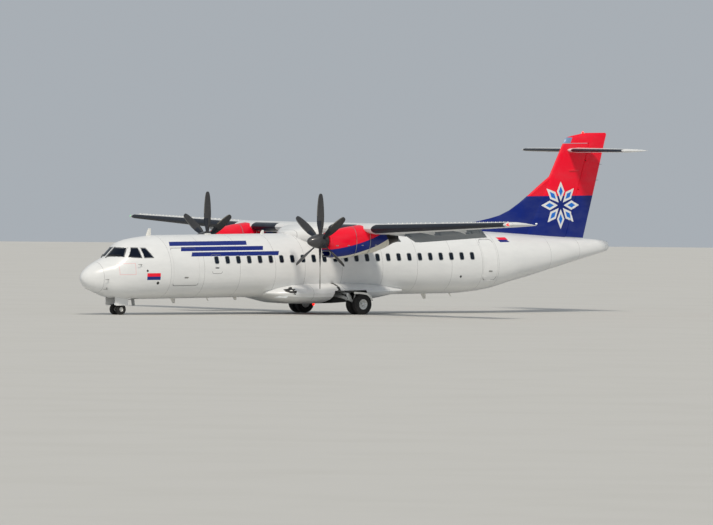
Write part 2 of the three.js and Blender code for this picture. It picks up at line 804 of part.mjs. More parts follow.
// Tailplane sections. Columns: distance from the middle, station of the leading edge, chord
const TAILPLANE = [
  [0, 25000, 1870],
  [3440, 25300, 1350],
];
const TAIL_THICK = 0.115;
const HORN_GAP = 14;
// Columns: distance from the middle, share of the chord kept, share of the thickness kept
const TAIL_TIP = [
  [3440 + HORN_GAP, 1, 1],
  [3590, 0.98, 0.85],
  [TAIL_SPAN / 2, 0.8, 0.25],
];
const ELEVATOR_HINGES = [0.26, 0.78];
const RUDDER_SWING = 33 * DEG; // the elevators' inner ends are cut back by this angle
// The opening in the tailplane round the rudder
const RUDDER_SLOT = { from: 26022, turn: 26180, to: 26500, half: 165 };

function tailSection(y) {
  const share = y / TAILPLANE[1][0];
  return new Section({
    station: lerp(TAILPLANE[0][1], TAILPLANE[1][1], share),
    y,
    z: TAIL_Z,
    chord: lerp(TAILPLANE[0][2], TAILPLANE[1][2], share),
    thick: TAIL_THICK,
  });
}

const elevatorShare = (section) => (ELEVATOR_HINGE - section.station) / section.chord;

function makeTailplane() {
  const tipY = TAILPLANE[1][0];
  const half = loft(
    [0, tipY].map((y) => {
      const section = tailSection(y);
      return section.slice([...FIXED_STEPS, section.rear(elevatorShare(section))]);
    }),
  );
  const main = loft(
    [150, TAIL_SPAN / 2 - 60].map((y) => tailSection(y).flapRing(elevatorShare(tailSection(y)))),
  );
  const horn = loft(
    TAIL_TIP.map(([y, chord, thick]) => {
      const section = tailSection(y);
      const lost = section.chord * (1 - chord);
      section.station += 0.7 * lost;
      section.chord *= chord;
      section.thick *= thick;
      return section.slice(HORN_STEPS);
    }),
  );
  const { from, turn, to, half: slotHalf } = RUDDER_SLOT;
  const end = turn + 1100;
  const swung = slotHalf + (end - turn) * Math.tan(RUDDER_SWING);
  const inner = [[from, -10], [from, slotHalf], [turn, slotHalf], [end, swung], [end, -10]];
  const wedge = loft([TAIL_Z - 500, TAIL_Z + 500].map((z) => inner.map(([s, y]) => at(s, y, z))));
  const elevator = main.add(horn).subtract(wedge);
  const [first, last] = [0, tipY].map((y) => at(ELEVATOR_HINGE, y, TAIL_Z));
  const hinges = hingeLine(first, last, ELEVATOR_HINGES, TAIL_LUG_REACH);
  const [left, moving] = hang(half, elevator, hinges);
  const rudderSlot = block(at(from, -slotHalf, TAIL_Z - 300), at(to, slotHalf, TAIL_Z + 300));
  return [left.add(mirrored(left)).subtract(rudderSlot), moving];
}

const [tailplane, elevator] = makeTailplane();
const [fin, rudder] = makeFinAndRudder();
const tailplaneSeat = loft(
  [-400, 0, 400].map((y) => {
    const section = tailSection(Math.abs(y));
    section.y = y;
    section.station -= SEAT;
    section.thick += (2 * SEAT) / section.chord;
    const rear = section.rear(elevatorShare(section));
    return section.slice([...FIXED_STEPS, rear, rear + 0.02]);
  }),
);
const seatedFin = cut(fin, [wholeBodySeat, tailplaneSeat]);
const finSeat = loft(
  FIN.map((row) => {
    const section = finSection(row);
    section.station -= SEAT * 2;
    section.thick += (3 * SEAT) / section.chord;
    return section.slice([...FIXED_STEPS, 0.5]);
  }),
);
addPiece("dorsal_fin", cut(makeDorsal(), [wholeBodySeat, finSeat]), "blue");
addPiece("fin", seatedFin, "red");
addPiece("rudder", rudder, "red");
addPiece("tailplane", tailplane, "grey");
for (const [label, side] of SIDES) addPiece(`elevator_${label}`, onSide(elevator, side), "grey");

// Fairings

// An oval ring across the body at a station, about a middle height, squarer with a higher power.
function ovalRing(station, y, halfWidth, top, bottom, power, count) {
  const [middle, half] = [(top + bottom) / 2, (top - bottom) / 2];
  const bend = (value) => Math.sign(value) * Math.abs(value) ** (2 / power);
  return Array.from({ length: count }, (_, i) => {
    const angle = (i / count) * 2 * Math.PI;
    return at(station, y + halfWidth * bend(Math.sin(angle)), middle + half * bend(Math.cos(angle)));
  });
}

// The wing's own outline with room to seat a piece against it.
function wingSeat(from, to) {
  return loft(
    [from, to].map((y) => {
      const section = wingSection(Math.abs(y));
      section.y = y;
      section.station -= 2 * SEAT;
      section.chord += 4 * SEAT;
      section.thick += (6 * SEAT) / section.chord;
      const rear = section.rear(HINGE_SHARE);
      return section.slice([...FRONT_STEPS.slice(0, -1), ...MIDDLE_STEPS, rear, 0.8, 1]);
    }),
  );
}

// Fairing between wing and body. Columns: station, half width, top, bottom
const WING_FAIRING = [
  [10150, 230, 3450, 3250],
  [10500, 900, 3590, 3050],
  [10900, 1300, 3735, 2900],
  [11400, 1420, 3775, 2850],
  [12500, 1440, 3775, 2850],
  [13500, 1400, 3690, 2880],
  [14500, 1120, 3560, 2980],
  [15400, 620, 3465, 3180],
  [15900, 160, 3425, 3280],
];

// Belly fairing with the blisters that house the main gear. Columns: station, half width, top, bottom
const BELLY_FAIRING = [
  [8560, 1120, 1040, 850],
  [9100, 1560, 1230, 650],
  [9800, 1850, 1340, 500],
  [10600, 1950, 1385, 455],
  [12200, 1950, 1385, 455],
  [13200, 1880, 1370, 500],
  [14300, 1600, 1270, 630],
  [15500, 1130, 1080, 830],
];
const FAIRING_POINTS = 24;

// The main gear's bay, seen from the side
const GEAR_BAY = [
  [11200, 300],
  [11480, 1015],
  [13120, 1015],
  [13290, 300],
];
const GEAR_BAY_Y = [700, 2500];

function makeWingFairing() {
  const rings = WING_FAIRING.map(([station, halfWidth, top, bottom]) =>
    ovalRing(station, 0, halfWidth, top, bottom, 3, FAIRING_POINTS),
  );
  return cut(loft(rings), [wholeBodySeat, wingSeat(-1800, 1800)]);
}

function makeBellyFairing() {
  const rings = BELLY_FAIRING.map(([station, halfWidth, top, bottom]) =>
    ovalRing(station, 0, halfWidth, top, bottom, 2.5, FAIRING_POINTS),
  );
  const [inner, outer] = GEAR_BAY_Y;
  const bay = plate(GEAR_BAY, (inner + outer) / 2, outer - inner);
  return cut(loft(rings), [wholeBodySeat, bay, mirrored(bay)]);
}

addPiece("centre_fuselage", centreBody.subtract(wingSeat(-1800, 1800)), "white");
addPiece("wing_fairing", makeWingFairing(), "white");
addPiece("belly_fairing", makeBellyFairing(), "white");

// Engines and propellers

// Nacelle. Columns: station, half width, top, bottom
const NACELLE = [
  [NACELLE_FRONT, 345, 3482, 2765],
  [9500, 375, 3498, 2470],
  [9800, 430, 3580, 2405],
  [10400, 475, 3700, 2425],
  [11130, 485, 3790, 2545],
  [11800, 465, 3690, 2630],
  [12400, 395, 3560, 2825],
  [12800, 310, 3480, 3005],
  [13000, 250, 3420, 3050],
];
const NACELLE_POINTS = 20;
const ENGINE = { from: 9750, to: 11600, radius: 285, z: 3075 };
const GEARBOX = { from: 9560, radius: 225 };
const SHAFT_RADIUS = 90;
const SHAFT_HOLE = 140;
const INTAKE = { halfWidth: 285, top: 2735, bottom: 2510, rear: 9850 };
const EXHAUST = { radius: 135, z: 3185, from: 12650 };

const onShaft = (station, z = SHAFT_Z) => at(station, ENGINE_Y, z);

function makeEngine(grow = 0) {
  return joined([
    bar(onShaft(ENGINE.to + grow, ENGINE.z), onShaft(ENGINE.from - grow, ENGINE.z), ENGINE.radius + grow, {
      facets: 20,
    }),
    bar(onShaft(ENGINE.from + 50), onShaft(GEARBOX.from - grow), GEARBOX.radius + grow, { facets: 20 }),
    bar(onShaft(ENGINE.from), onShaft(HUB_REAR + SEAT), SHAFT_RADIUS),
  ]);
}

function makeNacelle() {
  const rings = NACELLE.map(([station, halfWidth, top, bottom]) =>
    ovalRing(station, ENGINE_Y, halfWidth, top, bottom, 2.3, NACELLE_POINTS),
  );
  const intake = [NACELLE_FRONT - 50, INTAKE.rear].map((station, i) =>
    ovalRing(station, ENGINE_Y, INTAKE.halfWidth - 40 * i, INTAKE.top, INTAKE.bottom, 3, 16),
  );
  return cut(loft(rings), [
    wingSeat(3300, 4800),
    makeEngine(SEAT * 1.2),
    bar(onShaft(NACELLE_FRONT - 50), onShaft(ENGINE.from), SHAFT_HOLE),
    loft(intake),
    bar(onShaft(EXHAUST.from, EXHAUST.z), onShaft(13100, EXHAUST.z), EXHAUST.radius),
  ]);
}

// Columns: station, radius
const SPINNER = [
  [SPINNER_TIP, 10],
  [8555, 80],
  [8630, 152],
  [8760, 220],
  [8880, 262],
  [HUB_FRONT - SEAT, 284],
];
const HUB = [
  [HUB_FRONT, 285],
  [9150, HUB_RADIUS],
  [HUB_REAR, HUB_RADIUS],
];
const HUB_FACETS = 18;
const BLADE_STATION = 9180;

// Propeller blade. Columns: distance from the shaft, chord, thickness, angle to the disc in degrees
const BLADE = [
  [230, 130, 110, 62],
  [450, 175, 75, 57],
  [650, 265, 42, 50],
  [1200, 310, 25, 35],
  [1720, 250, 14, 27],
  [PROP_RADIUS, 90, 7, 23],
];

const roundRings = (rows) =>
  rows.map(([station, radius]) =>
    ovalRing(station, ENGINE_Y, radius, SHAFT_Z + radius, SHAFT_Z - radius, 2, HUB_FACETS),
  );

function makeBlade() {
  const rings = BLADE.map(([radius, chord, thick, angle]) => {
    const [forward, across] = [Math.sin(angle * DEG), Math.cos(angle * DEG)];
    // Columns: along the chord from its middle, off the chord line
    const outline = [[0.5, 0], [0.28, 0.5], [-0.15, 0.42], [-0.5, 0], [-0.15, -0.35], [0.28, -0.45]];
    return outline.map(([along, off]) => {
      const [u, v] = [along * chord, off * thick];
      return new THREE.Vector3(
        X(BLADE_STATION) + u * forward + v * across,
        ENGINE_Y + v * forward - u * across,
        SHAFT_Z + radius,
      );
    });
  });
  return loft(rings);
}

function makePropeller() {
  const shaft = { origin: onShaft(BLADE_STATION), direction: new THREE.Vector3(1, 0, 0) };
  const blades = Array.from({ length: BLADES }, (_, i) =>
    moved(makeBlade(), turnAbout(shaft, (i / BLADES) * 2 * Math.PI)),
  );
  return joined([loft(roundRings(HUB)), ...blades]);
}

const ACROSS = new THREE.Matrix4().makeTranslation(0, -2 * ENGINE_Y, 0);
const propeller = makePropeller();
const spinner = loft(roundRings(SPINNER));
for (const [label, side] of SIDES) {
  addPiece(`nacelle_${label}`, onSide(makeNacelle(), side), "red");
  addPiece(`engine_${label}`, onSide(makeEngine(), side), "steel");
  // both propellers turn the same way, so the right one is not a mirror image
  addPiece(`spinner_${label}`, side > 0 ? spinner : moved(spinner, ACROSS), "blade");
  addPiece(`propeller_${label}`, side > 0 ? propeller : moved(propeller, ACROSS), "blade");
}

// Landing gear

const along = (y) => new THREE.Vector3(0, y, 0);

function tyreRing({ radius, width, rim }) {
  const half = width / 2;
  const side = (radius - rim) / 2 + rim;
  const profile = [
    [rim, -0.82 * half],
    [side, -half],
    [radius - 0.09 * radius, -0.86 * half],
    [radius, -0.5 * half],
    [radius, 0.5 * half],
    [radius - 0.09 * radius, 0.86 * half],
    [side, half],
    [rim, 0.82 * half],
  ];
  return [...profile, profile[0]];
}

// A wheel rim, dished on both faces. Its profile runs from side to side, starting and ending on the axle.
function rimProfile({ width, rim }) {
  const [half, edge] = [0.4 * width, rim - SEAT];
  return [
    [0, -half],
    [0.34 * rim, -half],
    [0.42 * rim, -0.5 * half],
    [edge, -half],
    [edge, half],
    [0.42 * rim, 0.5 * half],
    [0.34 * rim, half],
    [0, half],
  ];
}

// Both wheels of a pair and the axle that joins them, without the tyres.
function wheelPair(tyre, centre, twin, axleRadius, facets) {
  const places = [-1, 1].map((end) => centre.clone().add(along((end * twin) / 2)));
  const axle = bar(places[0], places[1], axleRadius);
  return joined([axle, ...places.map((place) => turned(rimProfile(tyre), place, facets))]);
}

const MAIN_FACETS = 20;
const NOSE_FACETS = 16;
const MAIN_AXLE_RADIUS = 48;
const NOSE_AXLE_RADIUS = 28;
const mainHub = at(MAIN_AXLE, MAIN_TRACK / 2, placeOnGround(MAIN_AXLE, MAIN_TYRE.radius));
const noseHub = at(NOSE_AXLE, 0, placeOnGround(NOSE_AXLE, NOSE_TYRE.radius));

// Main leg: a beam out from the belly, a trailing arm to the axle and the shock absorber between them
const MAIN_LEG = {
  trunnion: { front: 11760, rear: 12160, radius: 80 },
  foot: [at(11850, 790, 880), at(12090, 972, 1012)],
  pivot: at(11960, 930, 880),
  knee: at(12010, MAIN_TRACK / 2, 700),
  shockTop: at(12040, MAIN_TRACK / 2, 890),
  strutEnd: at(12000, 1000, 915),
  beam: { radius: 88, kneeRadius: 72 },
  kneeBoss: { radius: 92, half: 85 },
  arm: { radius: 70, hubRadius: 62, shockShare: 0.55 },
  hubBoss: { radius: 86, half: 88 },
  shock: { radius: 46, topRadius: 58, kneeRadius: 64 },
  strutRadius: 44,
};
const COVER_POST = {
  foot: at(12330, MAIN_TRACK / 2, 560),
  head: at(12420, MAIN_TRACK / 2 + 20, 944),
  radius: 32,
};
const BORE_OVERRUN = 200;

// A round bar across the aircraft, about a point.
function crossBar(middle, half, radius, options) {
  return bar(middle.clone().add(along(-half)), middle.clone().add(along(half)), radius, options);
}

// The post that holds up a wheel cover, or with room round it the pocket for its head.
function coverPost(grow = 0) {
  const { foot, head, radius } = COVER_POST;
  const over = head.clone().sub(foot).setLength(grow);
  return bar(foot, head.clone().add(over), radius + grow);
}

function makeMainLeg() {
  const { trunnion, foot, pivot, knee, shockTop, strutEnd, beam, kneeBoss, arm, hubBoss, shock } = MAIN_LEG;
  const [front, rear] = [trunnion.front, trunnion.rear].map((station) => pivot.clone().setX(X(station)));
  const leg = joined([
    bar(front, rear, trunnion.radius),
    block(...foot),
    bar(pivot, knee, beam.radius, { endRadius: beam.kneeRadius }),
    crossBar(knee, kneeBoss.half, kneeBoss.radius),
    bar(knee, mainHub, arm.radius, { endRadius: arm.hubRadius }),
    crossBar(mainHub, hubBoss.half, hubBoss.radius),
    bar(knee.clone().lerp(mainHub, arm.shockShare), shockTop, shock.radius, { endRadius: shock.topRadius }),
    bar(knee, shockTop, shock.kneeRadius),
    bar(shockTop, strutEnd, MAIN_LEG.strutRadius),
    coverPost(),
  ]);
  const bore = crossBar(mainHub, BORE_OVERRUN, MAIN_AXLE_RADIUS + SEAT, { bore: true });
  return cut(leg, [wholeBodySeat, bore]);
}

// Curved cover that follows the leg out over the wheels. Columns: station, height of its top
const COVER = [
  [12080, 985],
  [12300, 965],
  [12583, 948],
  [12760, 916],
  [12880, 850],
  [12980, 750],
  [13050, 620],
];
const COVER_Y = [1800, 2430];
const COVER_STEP = [-12, -30]; // from its outer face to its inner one, aft and up

// The cover is a row of flat panels, so that each one is a convex solid.
function makeCover() {
  const [inner, outer] = COVER_Y;
  const [aft, up] = COVER_STEP;
  const under = COVER.map(([station, z]) => [station + aft, z + up]);
  const panels = COVER.slice(1).map((next, i) =>
    plate([COVER[i], next, under[i + 1], under[i]], (inner + outer) / 2, outer - inner),
  );
  return joined(panels).subtract(coverPost(SEAT));
}

addPiece("tail_cone", bodyLoft(AFT_END, TAIL_END), "white");

// Nose gear: a fixed leg, the turning fork below it, and the doors that hang open beside them
const NOSE_BAY = { from: 1440, to: 2640, halfWidth: 357, roof: 1150 };
const NOSE_COLLAR = 655; // height where the fork turns under the leg
const NOSE_DOOR = { from: 1450, to: 2100, low: 530, high: 960, thick: 22, rise: 30, run: 60 };
const NOSE_LEG = {
  strutRadius: 66,
  sleeve: { top: 720, radius: 84 },
  brace: { low: at(NOSE_AXLE, 0, 800), high: at(2500, 0, 1080), radius: 32, pinRadius: 34 },
  doorRod: { z: 760, end: 2560, radius: 16 },
  aftDoor: { outline: [[2540, 840], [2565, 840], [2625, 500], [2600, 500]], width: 210 },
};
const NOSE_FORK = {
  pistonRadius: 46,
  collar: { depth: 45, radius: 80 },
  boss: { half: 96, radius: 52 },
  // the torque links behind the piston, seen from the side: distance aft of the axle, height
  links: [[30, 620], [190, 520], [30, 400]],
  linksWidth: 34,
};

function makeNoseLeg() {
  const { strutRadius, sleeve, brace, doorRod, aftDoor } = NOSE_LEG;
  const onLeg = (z) => at(NOSE_AXLE, 0, z);
  const foot = onLeg(NOSE_COLLAR + SEAT);
  return joined([
    bar(foot, onLeg(NOSE_BAY.roof - SEAT), strutRadius),
    bar(foot, onLeg(sleeve.top), sleeve.radius),
    bar(brace.low, brace.high, brace.radius),
    crossBar(brace.high, NOSE_BAY.halfWidth - SEAT, brace.pinRadius),
    bar(onLeg(doorRod.z), at(doorRod.end, 0, doorRod.z), doorRod.radius),
    plate(aftDoor.outline, 0, aftDoor.width),
  ]);
}

function makeNoseFork() {
  const { pistonRadius, collar, boss, links, linksWidth } = NOSE_FORK;
  const top = at(NOSE_AXLE, 0, NOSE_COLLAR);
  const housing = joined([
    bar(noseHub, top, pistonRadius),
    bar(at(NOSE_AXLE, 0, NOSE_COLLAR - collar.depth), top, collar.radius),
    crossBar(noseHub, boss.half, boss.radius),
    plate(links.map(([aft, z]) => [NOSE_AXLE + aft, z]), 0, linksWidth),
  ]);
  return housing.subtract(crossBar(noseHub, BORE_OVERRUN, NOSE_AXLE_RADIUS + SEAT, { bore: true }));
}

function makeNoseDoor() {
  const { from, to, low, high, thick, rise, run } = NOSE_DOOR;
  const outline = [
    [from, high],
    [to, high],
    [to, low + rise],
    [to - run, low],
    [from + run, low],
    [from, low + rise],
  ];
  return plate(outline, NOSE_BAY.halfWidth - SEAT - thick / 2, thick);
}

function noseBay() {
  const { from, to, halfWidth, roof } = NOSE_BAY;
  return block(at(from, -halfWidth, 300), at(to, halfWidth, roof));
}

addPiece("nose_section", noseBody.subtract(noseBay()), "white");
addPiece("nose_leg", makeNoseLeg(), "gear");
addPiece("nose_fork", makeNoseFork(), "gear");
const noseHubs = wheelPair(NOSE_TYRE, noseHub, NOSE_TWIN, NOSE_AXLE_RADIUS, NOSE_FACETS);
addPiece("nose_wheel_hubs", noseHubs, "rim");
for (const [label, side] of SIDES) {
  const place = noseHub.clone().add(along((side * NOSE_TWIN) / 2));
  addPiece(`nose_tyre_${label}`, turned(tyreRing(NOSE_TYRE), place, NOSE_FACETS), "tyre");
  addPiece(`nose_gear_door_${label}`, onSide(makeNoseDoor(), side), "white");
  addPiece(`main_gear_leg_${label}`, onSide(makeMainLeg(), side), "gear");
  addPiece(`wheel_cover_${label}`, onSide(makeCover(), side), "white");
  const hubs = wheelPair(MAIN_TYRE, mainHub, MAIN_TWIN, MAIN_AXLE_RADIUS, MAIN_FACETS);
  addPiece(`main_wheel_hubs_${label}`, onSide(hubs, side), "rim");
  for (const [row, end] of [["outer", 1], ["inner", -1]]) {
    const middle = mainHub.clone().add(along((end * MAIN_TWIN) / 2));
    const tyre = turned(tyreRing(MAIN_TYRE), middle, MAIN_FACETS);
    addPiece(`main_tyre_${row}_${label}`, onSide(tyre, side), "tyre");
  }
}

// The whole aircraft, centred lengthwise and set down on the ground
const airliner = new THREE.Group();
airliner.add(airframe);
airliner.updateMatrixWorld(true);
const bounds = new THREE.Box3().setFromObject(airliner, true);
airliner.position.set(-(bounds.min.x + bounds.max.x) / 2, 0, -bounds.min.z);

export default airliner;
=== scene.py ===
"""Looks of a twin turboprop airliner, parked on its wheels with its flaps down.

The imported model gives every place. Lengths are metres. A station is a distance aft of the nose tip, and heights are
counted in the frame of the fuselage, which stands a little nose low on the ground.
"""

import logging
import math
from collections.abc import Callable, Sequence
from dataclasses import dataclass, field
from enum import Enum

import bmesh
import bpy
from mathutils import Matrix, Vector
from mathutils.bvhtree import BVHTree


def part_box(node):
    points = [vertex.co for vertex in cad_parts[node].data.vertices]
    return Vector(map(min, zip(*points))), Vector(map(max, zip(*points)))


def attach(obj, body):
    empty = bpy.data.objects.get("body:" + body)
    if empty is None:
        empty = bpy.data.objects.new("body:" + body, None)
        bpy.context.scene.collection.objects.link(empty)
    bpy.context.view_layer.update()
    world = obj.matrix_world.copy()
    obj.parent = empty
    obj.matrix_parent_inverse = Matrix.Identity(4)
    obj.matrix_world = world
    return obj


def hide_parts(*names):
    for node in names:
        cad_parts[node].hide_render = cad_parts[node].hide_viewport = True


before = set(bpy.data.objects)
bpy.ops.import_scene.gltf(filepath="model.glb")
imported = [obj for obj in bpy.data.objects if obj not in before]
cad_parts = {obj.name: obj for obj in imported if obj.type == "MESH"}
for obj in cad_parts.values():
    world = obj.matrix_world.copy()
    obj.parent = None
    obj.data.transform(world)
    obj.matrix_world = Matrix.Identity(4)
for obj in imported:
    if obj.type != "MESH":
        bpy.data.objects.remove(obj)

log = logging.getLogger("airliner")
logging.basicConfig(level=logging.INFO, format="%(name)s: %(message)s")

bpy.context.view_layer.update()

Pair = tuple[float, float]
Triple = tuple[float, float, float]
Floats = tuple[float, ...]
Rows = Sequence[Sequence[float]]
Points = Sequence[Pair]
Ring = list[Vector]
Shape = bmesh.types.BMesh
Fill = Callable[..., None]
Mapper = Callable[[float, float, float], Vector]
Tree = bpy.types.NodeTree
Node = bpy.types.Node
Socket = bpy.types.NodeSocket

MATH = "ShaderNodeMath"
NOISE = "ShaderNodeTexNoise"
REMAP = "ShaderNodeMapRange"

# How deep the edges of a seated piece reach into the skin, so that no gap shows under them.
SUNK = 0.012

# Where the rays that look for the skin start: metres out to one side, up, down, and ahead of the nose tip.
BESIDE, OVERHEAD, BELOW, AHEAD = 9, 12, -4, -3


class Side(Enum):
    """The two sides of the aircraft, with the sign of their y."""

    LEFT = 1
    RIGHT = -1

    @property
    def label(self) -> str:
        """The word that ends the names of this side's nodes."""
        return self.name.lower()


class Shade(Enum):
    """Paint and rubber colours of the aircraft, with the painted shade of the gear bays and of the flaps, as sRGB hex
    values.
    """

    WHITE = "#DFE1E2"
    CREAM = "#E4E0D3"
    RED = "#F0002A"
    BLUE = "#001E76"
    SKY = "#1470D2"
    # Grey of the grime streaks, and the painted shade of the flaps.
    GREY = "#7B838B"
    BOOT = "#101A28"
    DARK = "#3A3B3E"
    LINING = "#B9B6AC"
    # Near black painted shade inside the gear bays.
    BAY = "#232624"
    SOOT = "#1D1A18"
    STEEL_BLUE = "#6F8DB0"


Source = Node | Socket | float
Colour = Node | Socket | Shade


def linear(hex_value: str) -> tuple[float, float, float, float]:
    """Turns an sRGB hex value into the linear colour that shaders take.

    Args:
        hex_value: a colour such as "#EDEBE6".

    Returns:
        Red, green, blue and an alpha of one.
    """
    channels = [int(hex_value[i : i + 2], 16) / 255 for i in (1, 3, 5)]
    straight = [c / 12.92 if c <= 0.04045 else ((c + 0.055) / 1.055) ** 2.4 for c in channels]
    return (*straight, 1.0)


@dataclass(frozen=True)
class Airframe:
    """The frame of the fuselage, as it stands in the row frame."""

    nose_x: float = 13.583
    shift_x: float = -0.01995
    nose_down: float = math.radians(0.7)

    @property
    def matrix(self) -> Matrix:
        """Turns a place in the frame of the fuselage into the row frame."""
        return Matrix.Translation((self.shift_x, 0, 0)) @ Matrix.Rotation(self.nose_down, 4, "Y")

    def at(self, station: float, y: float, z: float) -> Vector:
        """The place in the row frame of a station, a distance to the left and a height."""
        return self.matrix @ Vector((self.nose_x - station, y, z))


AIR = Airframe()
at = AIR.at
AFT = at(1, 0, 0) - at(0, 0, 0)
UP = at(0, 0, 1) - at(0, 0, 0)
X, Y, Z = Vector((1, 0, 0)), Vector((0, 1, 0)), Vector((0, 0, 1))


def feed(tree: Tree, node: Node, inputs: dict | Sequence) -> None:
    """Links or sets inputs of a node.

    Args:
        tree: the node tree.
        node: the node.
        inputs: by name or in order, a node for its first live output, a socket to link, or a value to set.
    """
    for key, value in inputs.items() if isinstance(inputs, dict) else enumerate(inputs):
        if isinstance(value, Node):
            value = next(output for output in value.outputs if output.enabled)
        if isinstance(value, Socket):
            tree.links.new(value, node.inputs[key])
        else:
            node.inputs[key].default_value = value


def add_node(tree: Tree, kind: str, inputs: dict | Sequence = (), **settings: object) -> Node:
    """Adds one node to a tree.

    Args:
        tree: the node tree.
        kind: the node's type name.
        inputs: what goes into its inputs, by name or in order.
        settings: its own properties.

    Returns:
        The node.
    """
    node = tree.nodes.new(kind)
    for name, value in settings.items():
        setattr(node, name, value)
    feed(tree, node, inputs)
    return node


@dataclass(frozen=True)
class Place:
    """Where a shaded point is: its station, its y and its height in the frame of the fuselage."""

    station: Source
    y: Source
    z: Source


def place_in(tree: Tree) -> Place:
    """Adds the nodes that turn a point of a piece at rest into station, y and height."""
    point = add_node(tree, "ShaderNodeTexCoord").outputs["Object"]
    back = {"Vector": point, "Location": AIR.matrix.inverted().translation, "Rotation": (0, -AIR.nose_down, 0)}
    mapped = add_node(tree, "ShaderNodeMapping", back, vector_type="POINT")
    x, y, z = add_node(tree, "ShaderNodeSeparateXYZ", [mapped]).outputs
    return Place(add_node(tree, MATH, (AIR.nose_x, x), operation="SUBTRACT"), y, z)


def within(tree: Tree, value: Source, low: float, high: float) -> Node:
    """A mask that is one where a value lies between two limits."""
    return add_node(tree, MATH, (value, (low + high) / 2, (high - low) / 2), operation="COMPARE")


def all_of(tree: Tree, *masks: Source) -> Source:
    """A mask that is one where every one of these masks is."""
    result = masks[0]
    for mask in masks[1:]:
        result = add_node(tree, MATH, (result, mask), operation="MULTIPLY")
    return result


def curve_of(tree: Tree, value: Source, start: float, terms: Triple) -> Node:
    """A parabola of a value, which follows a painted line.

    Args:
        tree: the node tree.
        value: what it depends on.
        start: where the parabola's terms are counted from.
        terms: its value, slope and bend there.

    Returns:
        The parabola's height.
    """
    away = add_node(tree, MATH, (value, start), operation="SUBTRACT")
    bent = add_node(tree, MATH, (away, terms[2], terms[1]), operation="MULTIPLY_ADD")
    return add_node(tree, MATH, (bent, away, terms[0]), operation="MULTIPLY_ADD")


def over(tree: Tree, below: Colour, mask: Source, above: Colour) -> Node:
    """Lays one colour over another where a mask is one."""
    low, high = (linear(colour.value) if isinstance(colour, Shade) else colour for colour in (below, above))
    return add_node(tree, "ShaderNodeMix", {"Factor": mask, "A": low, "B": high}, data_type="RGBA")


# Finishes


@dataclass(frozen=True)
class PaintedSkin:
    """Two-pack polyurethane gloss enamel, sprayed over riveted aluminium or bonded composite sheet.

    It gives the eye a clear gloss over flat colour, with dark joints between the sheets, faint rows of flush rivets,
    and grey streaks that the wind draws aft from them.
    """

    name: str
    livery: Callable[[Tree, Place], Colour]
    station_joints: Floats = ()
    span_joints: Floats = ()
    joint_width: float = 0.012  # real joints are 2 mm wide, too fine to show from the camera
    rivet_pitch: float = 0.05  # real rivets stand 25 mm apart, drawn at twice that so that they show
    rivet_rows: float = 0.5
    rivet_radius: float = 0.006
    rivet_height: float = 0.4
    joint_darkness: float = 0.55
    gloss_roughness: float = 0.3
    peel_scale: float = 6.0
    peel_height: float = 0.35
    dirt: float = 0.16
    dirt_scale: float = 2.2
    dirt_stretch: float = 0.35

    def make(self) -> bpy.types.Material:
        """Builds the material."""
        material = bpy.data.materials.new(self.name)
        material.use_nodes = True
        tree = material.node_tree
        place = place_in(tree)
        joints = self.joint_mask(tree, place)
        dirty = over(tree, self.livery(tree, place), self.streak_mask(tree, place), Shade.GREY)
        peel = add_node(tree, NOISE, {"Scale": self.peel_scale, "Detail": 6.0})
        gloss = add_node(tree, REMAP, {0: peel, 3: self.gloss_roughness - 0.06, 4: self.gloss_roughness + 0.08})
        height = add_node(tree, MATH, (joints, -1.0, self.rivets(tree, place)), operation="MULTIPLY_ADD")
        waved = add_node(tree, MATH, (peel, self.peel_height, height), operation="MULTIPLY_ADD")
        bump = add_node(tree, "ShaderNodeBump", {"Height": waved, "Strength": 0.25, "Distance": 0.004})
        look = {"Base Color": over(tree, dirty, joints, Shade.DARK), "Roughness": gloss, "Normal": bump}
        look |= {"IOR": 1.35, "Coat Weight": 0.12, "Coat Roughness": 0.22}
        feed(tree, tree.nodes["Principled BSDF"], look)
        return material

    def joint_mask(self, tree: Tree, place: Place) -> Source:
        """A mask of the joints between the sheets."""
        total: Source = 0.0
        half = self.joint_width / 2
        for value, joints in ((place.station, self.station_joints), (place.y, self.span_joints)):
            for joint in joints:
                seam = within(tree, value, joint - half, joint + half)
                layers = (seam, self.joint_darkness, total)
                total = add_node(tree, MATH, layers, operation="MULTIPLY_ADD", use_clamp=True)
        return total

    def streak_mask(self, tree: Tree, place: Place) -> Node:
        """A mask of the grime, which the wind draws into long streaks."""
        along = add_node(tree, MATH, (place.station, self.dirt_stretch), operation="MULTIPLY")
        stretched = add_node(tree, "ShaderNodeCombineXYZ", (along, place.y, place.z))
        spots = {"Vector": stretched, "Scale": self.dirt_scale, "Detail": 8.0, "Roughness": 0.62}
        grime = add_node(tree, NOISE, spots)
        return add_node(tree, REMAP, (grime, 0.42, 0.9, 0.0, self.dirt))

    def rivets(self, tree: Tree, place: Place) -> Node:
        """The height of the flush rivets, in rows half a metre apart."""
        dots = []
        for value, pitch in ((place.station, self.rivet_pitch), (place.z, self.rivet_rows)):
            wave = add_node(tree, MATH, (value, pitch / 2), operation="PINGPONG")
            dots.append(add_node(tree, MATH, (wave, self.rivet_radius), operation="LESS_THAN"))
        return add_node(tree, MATH, (all_of(tree, *dots), -self.rivet_height), operation="MULTIPLY")


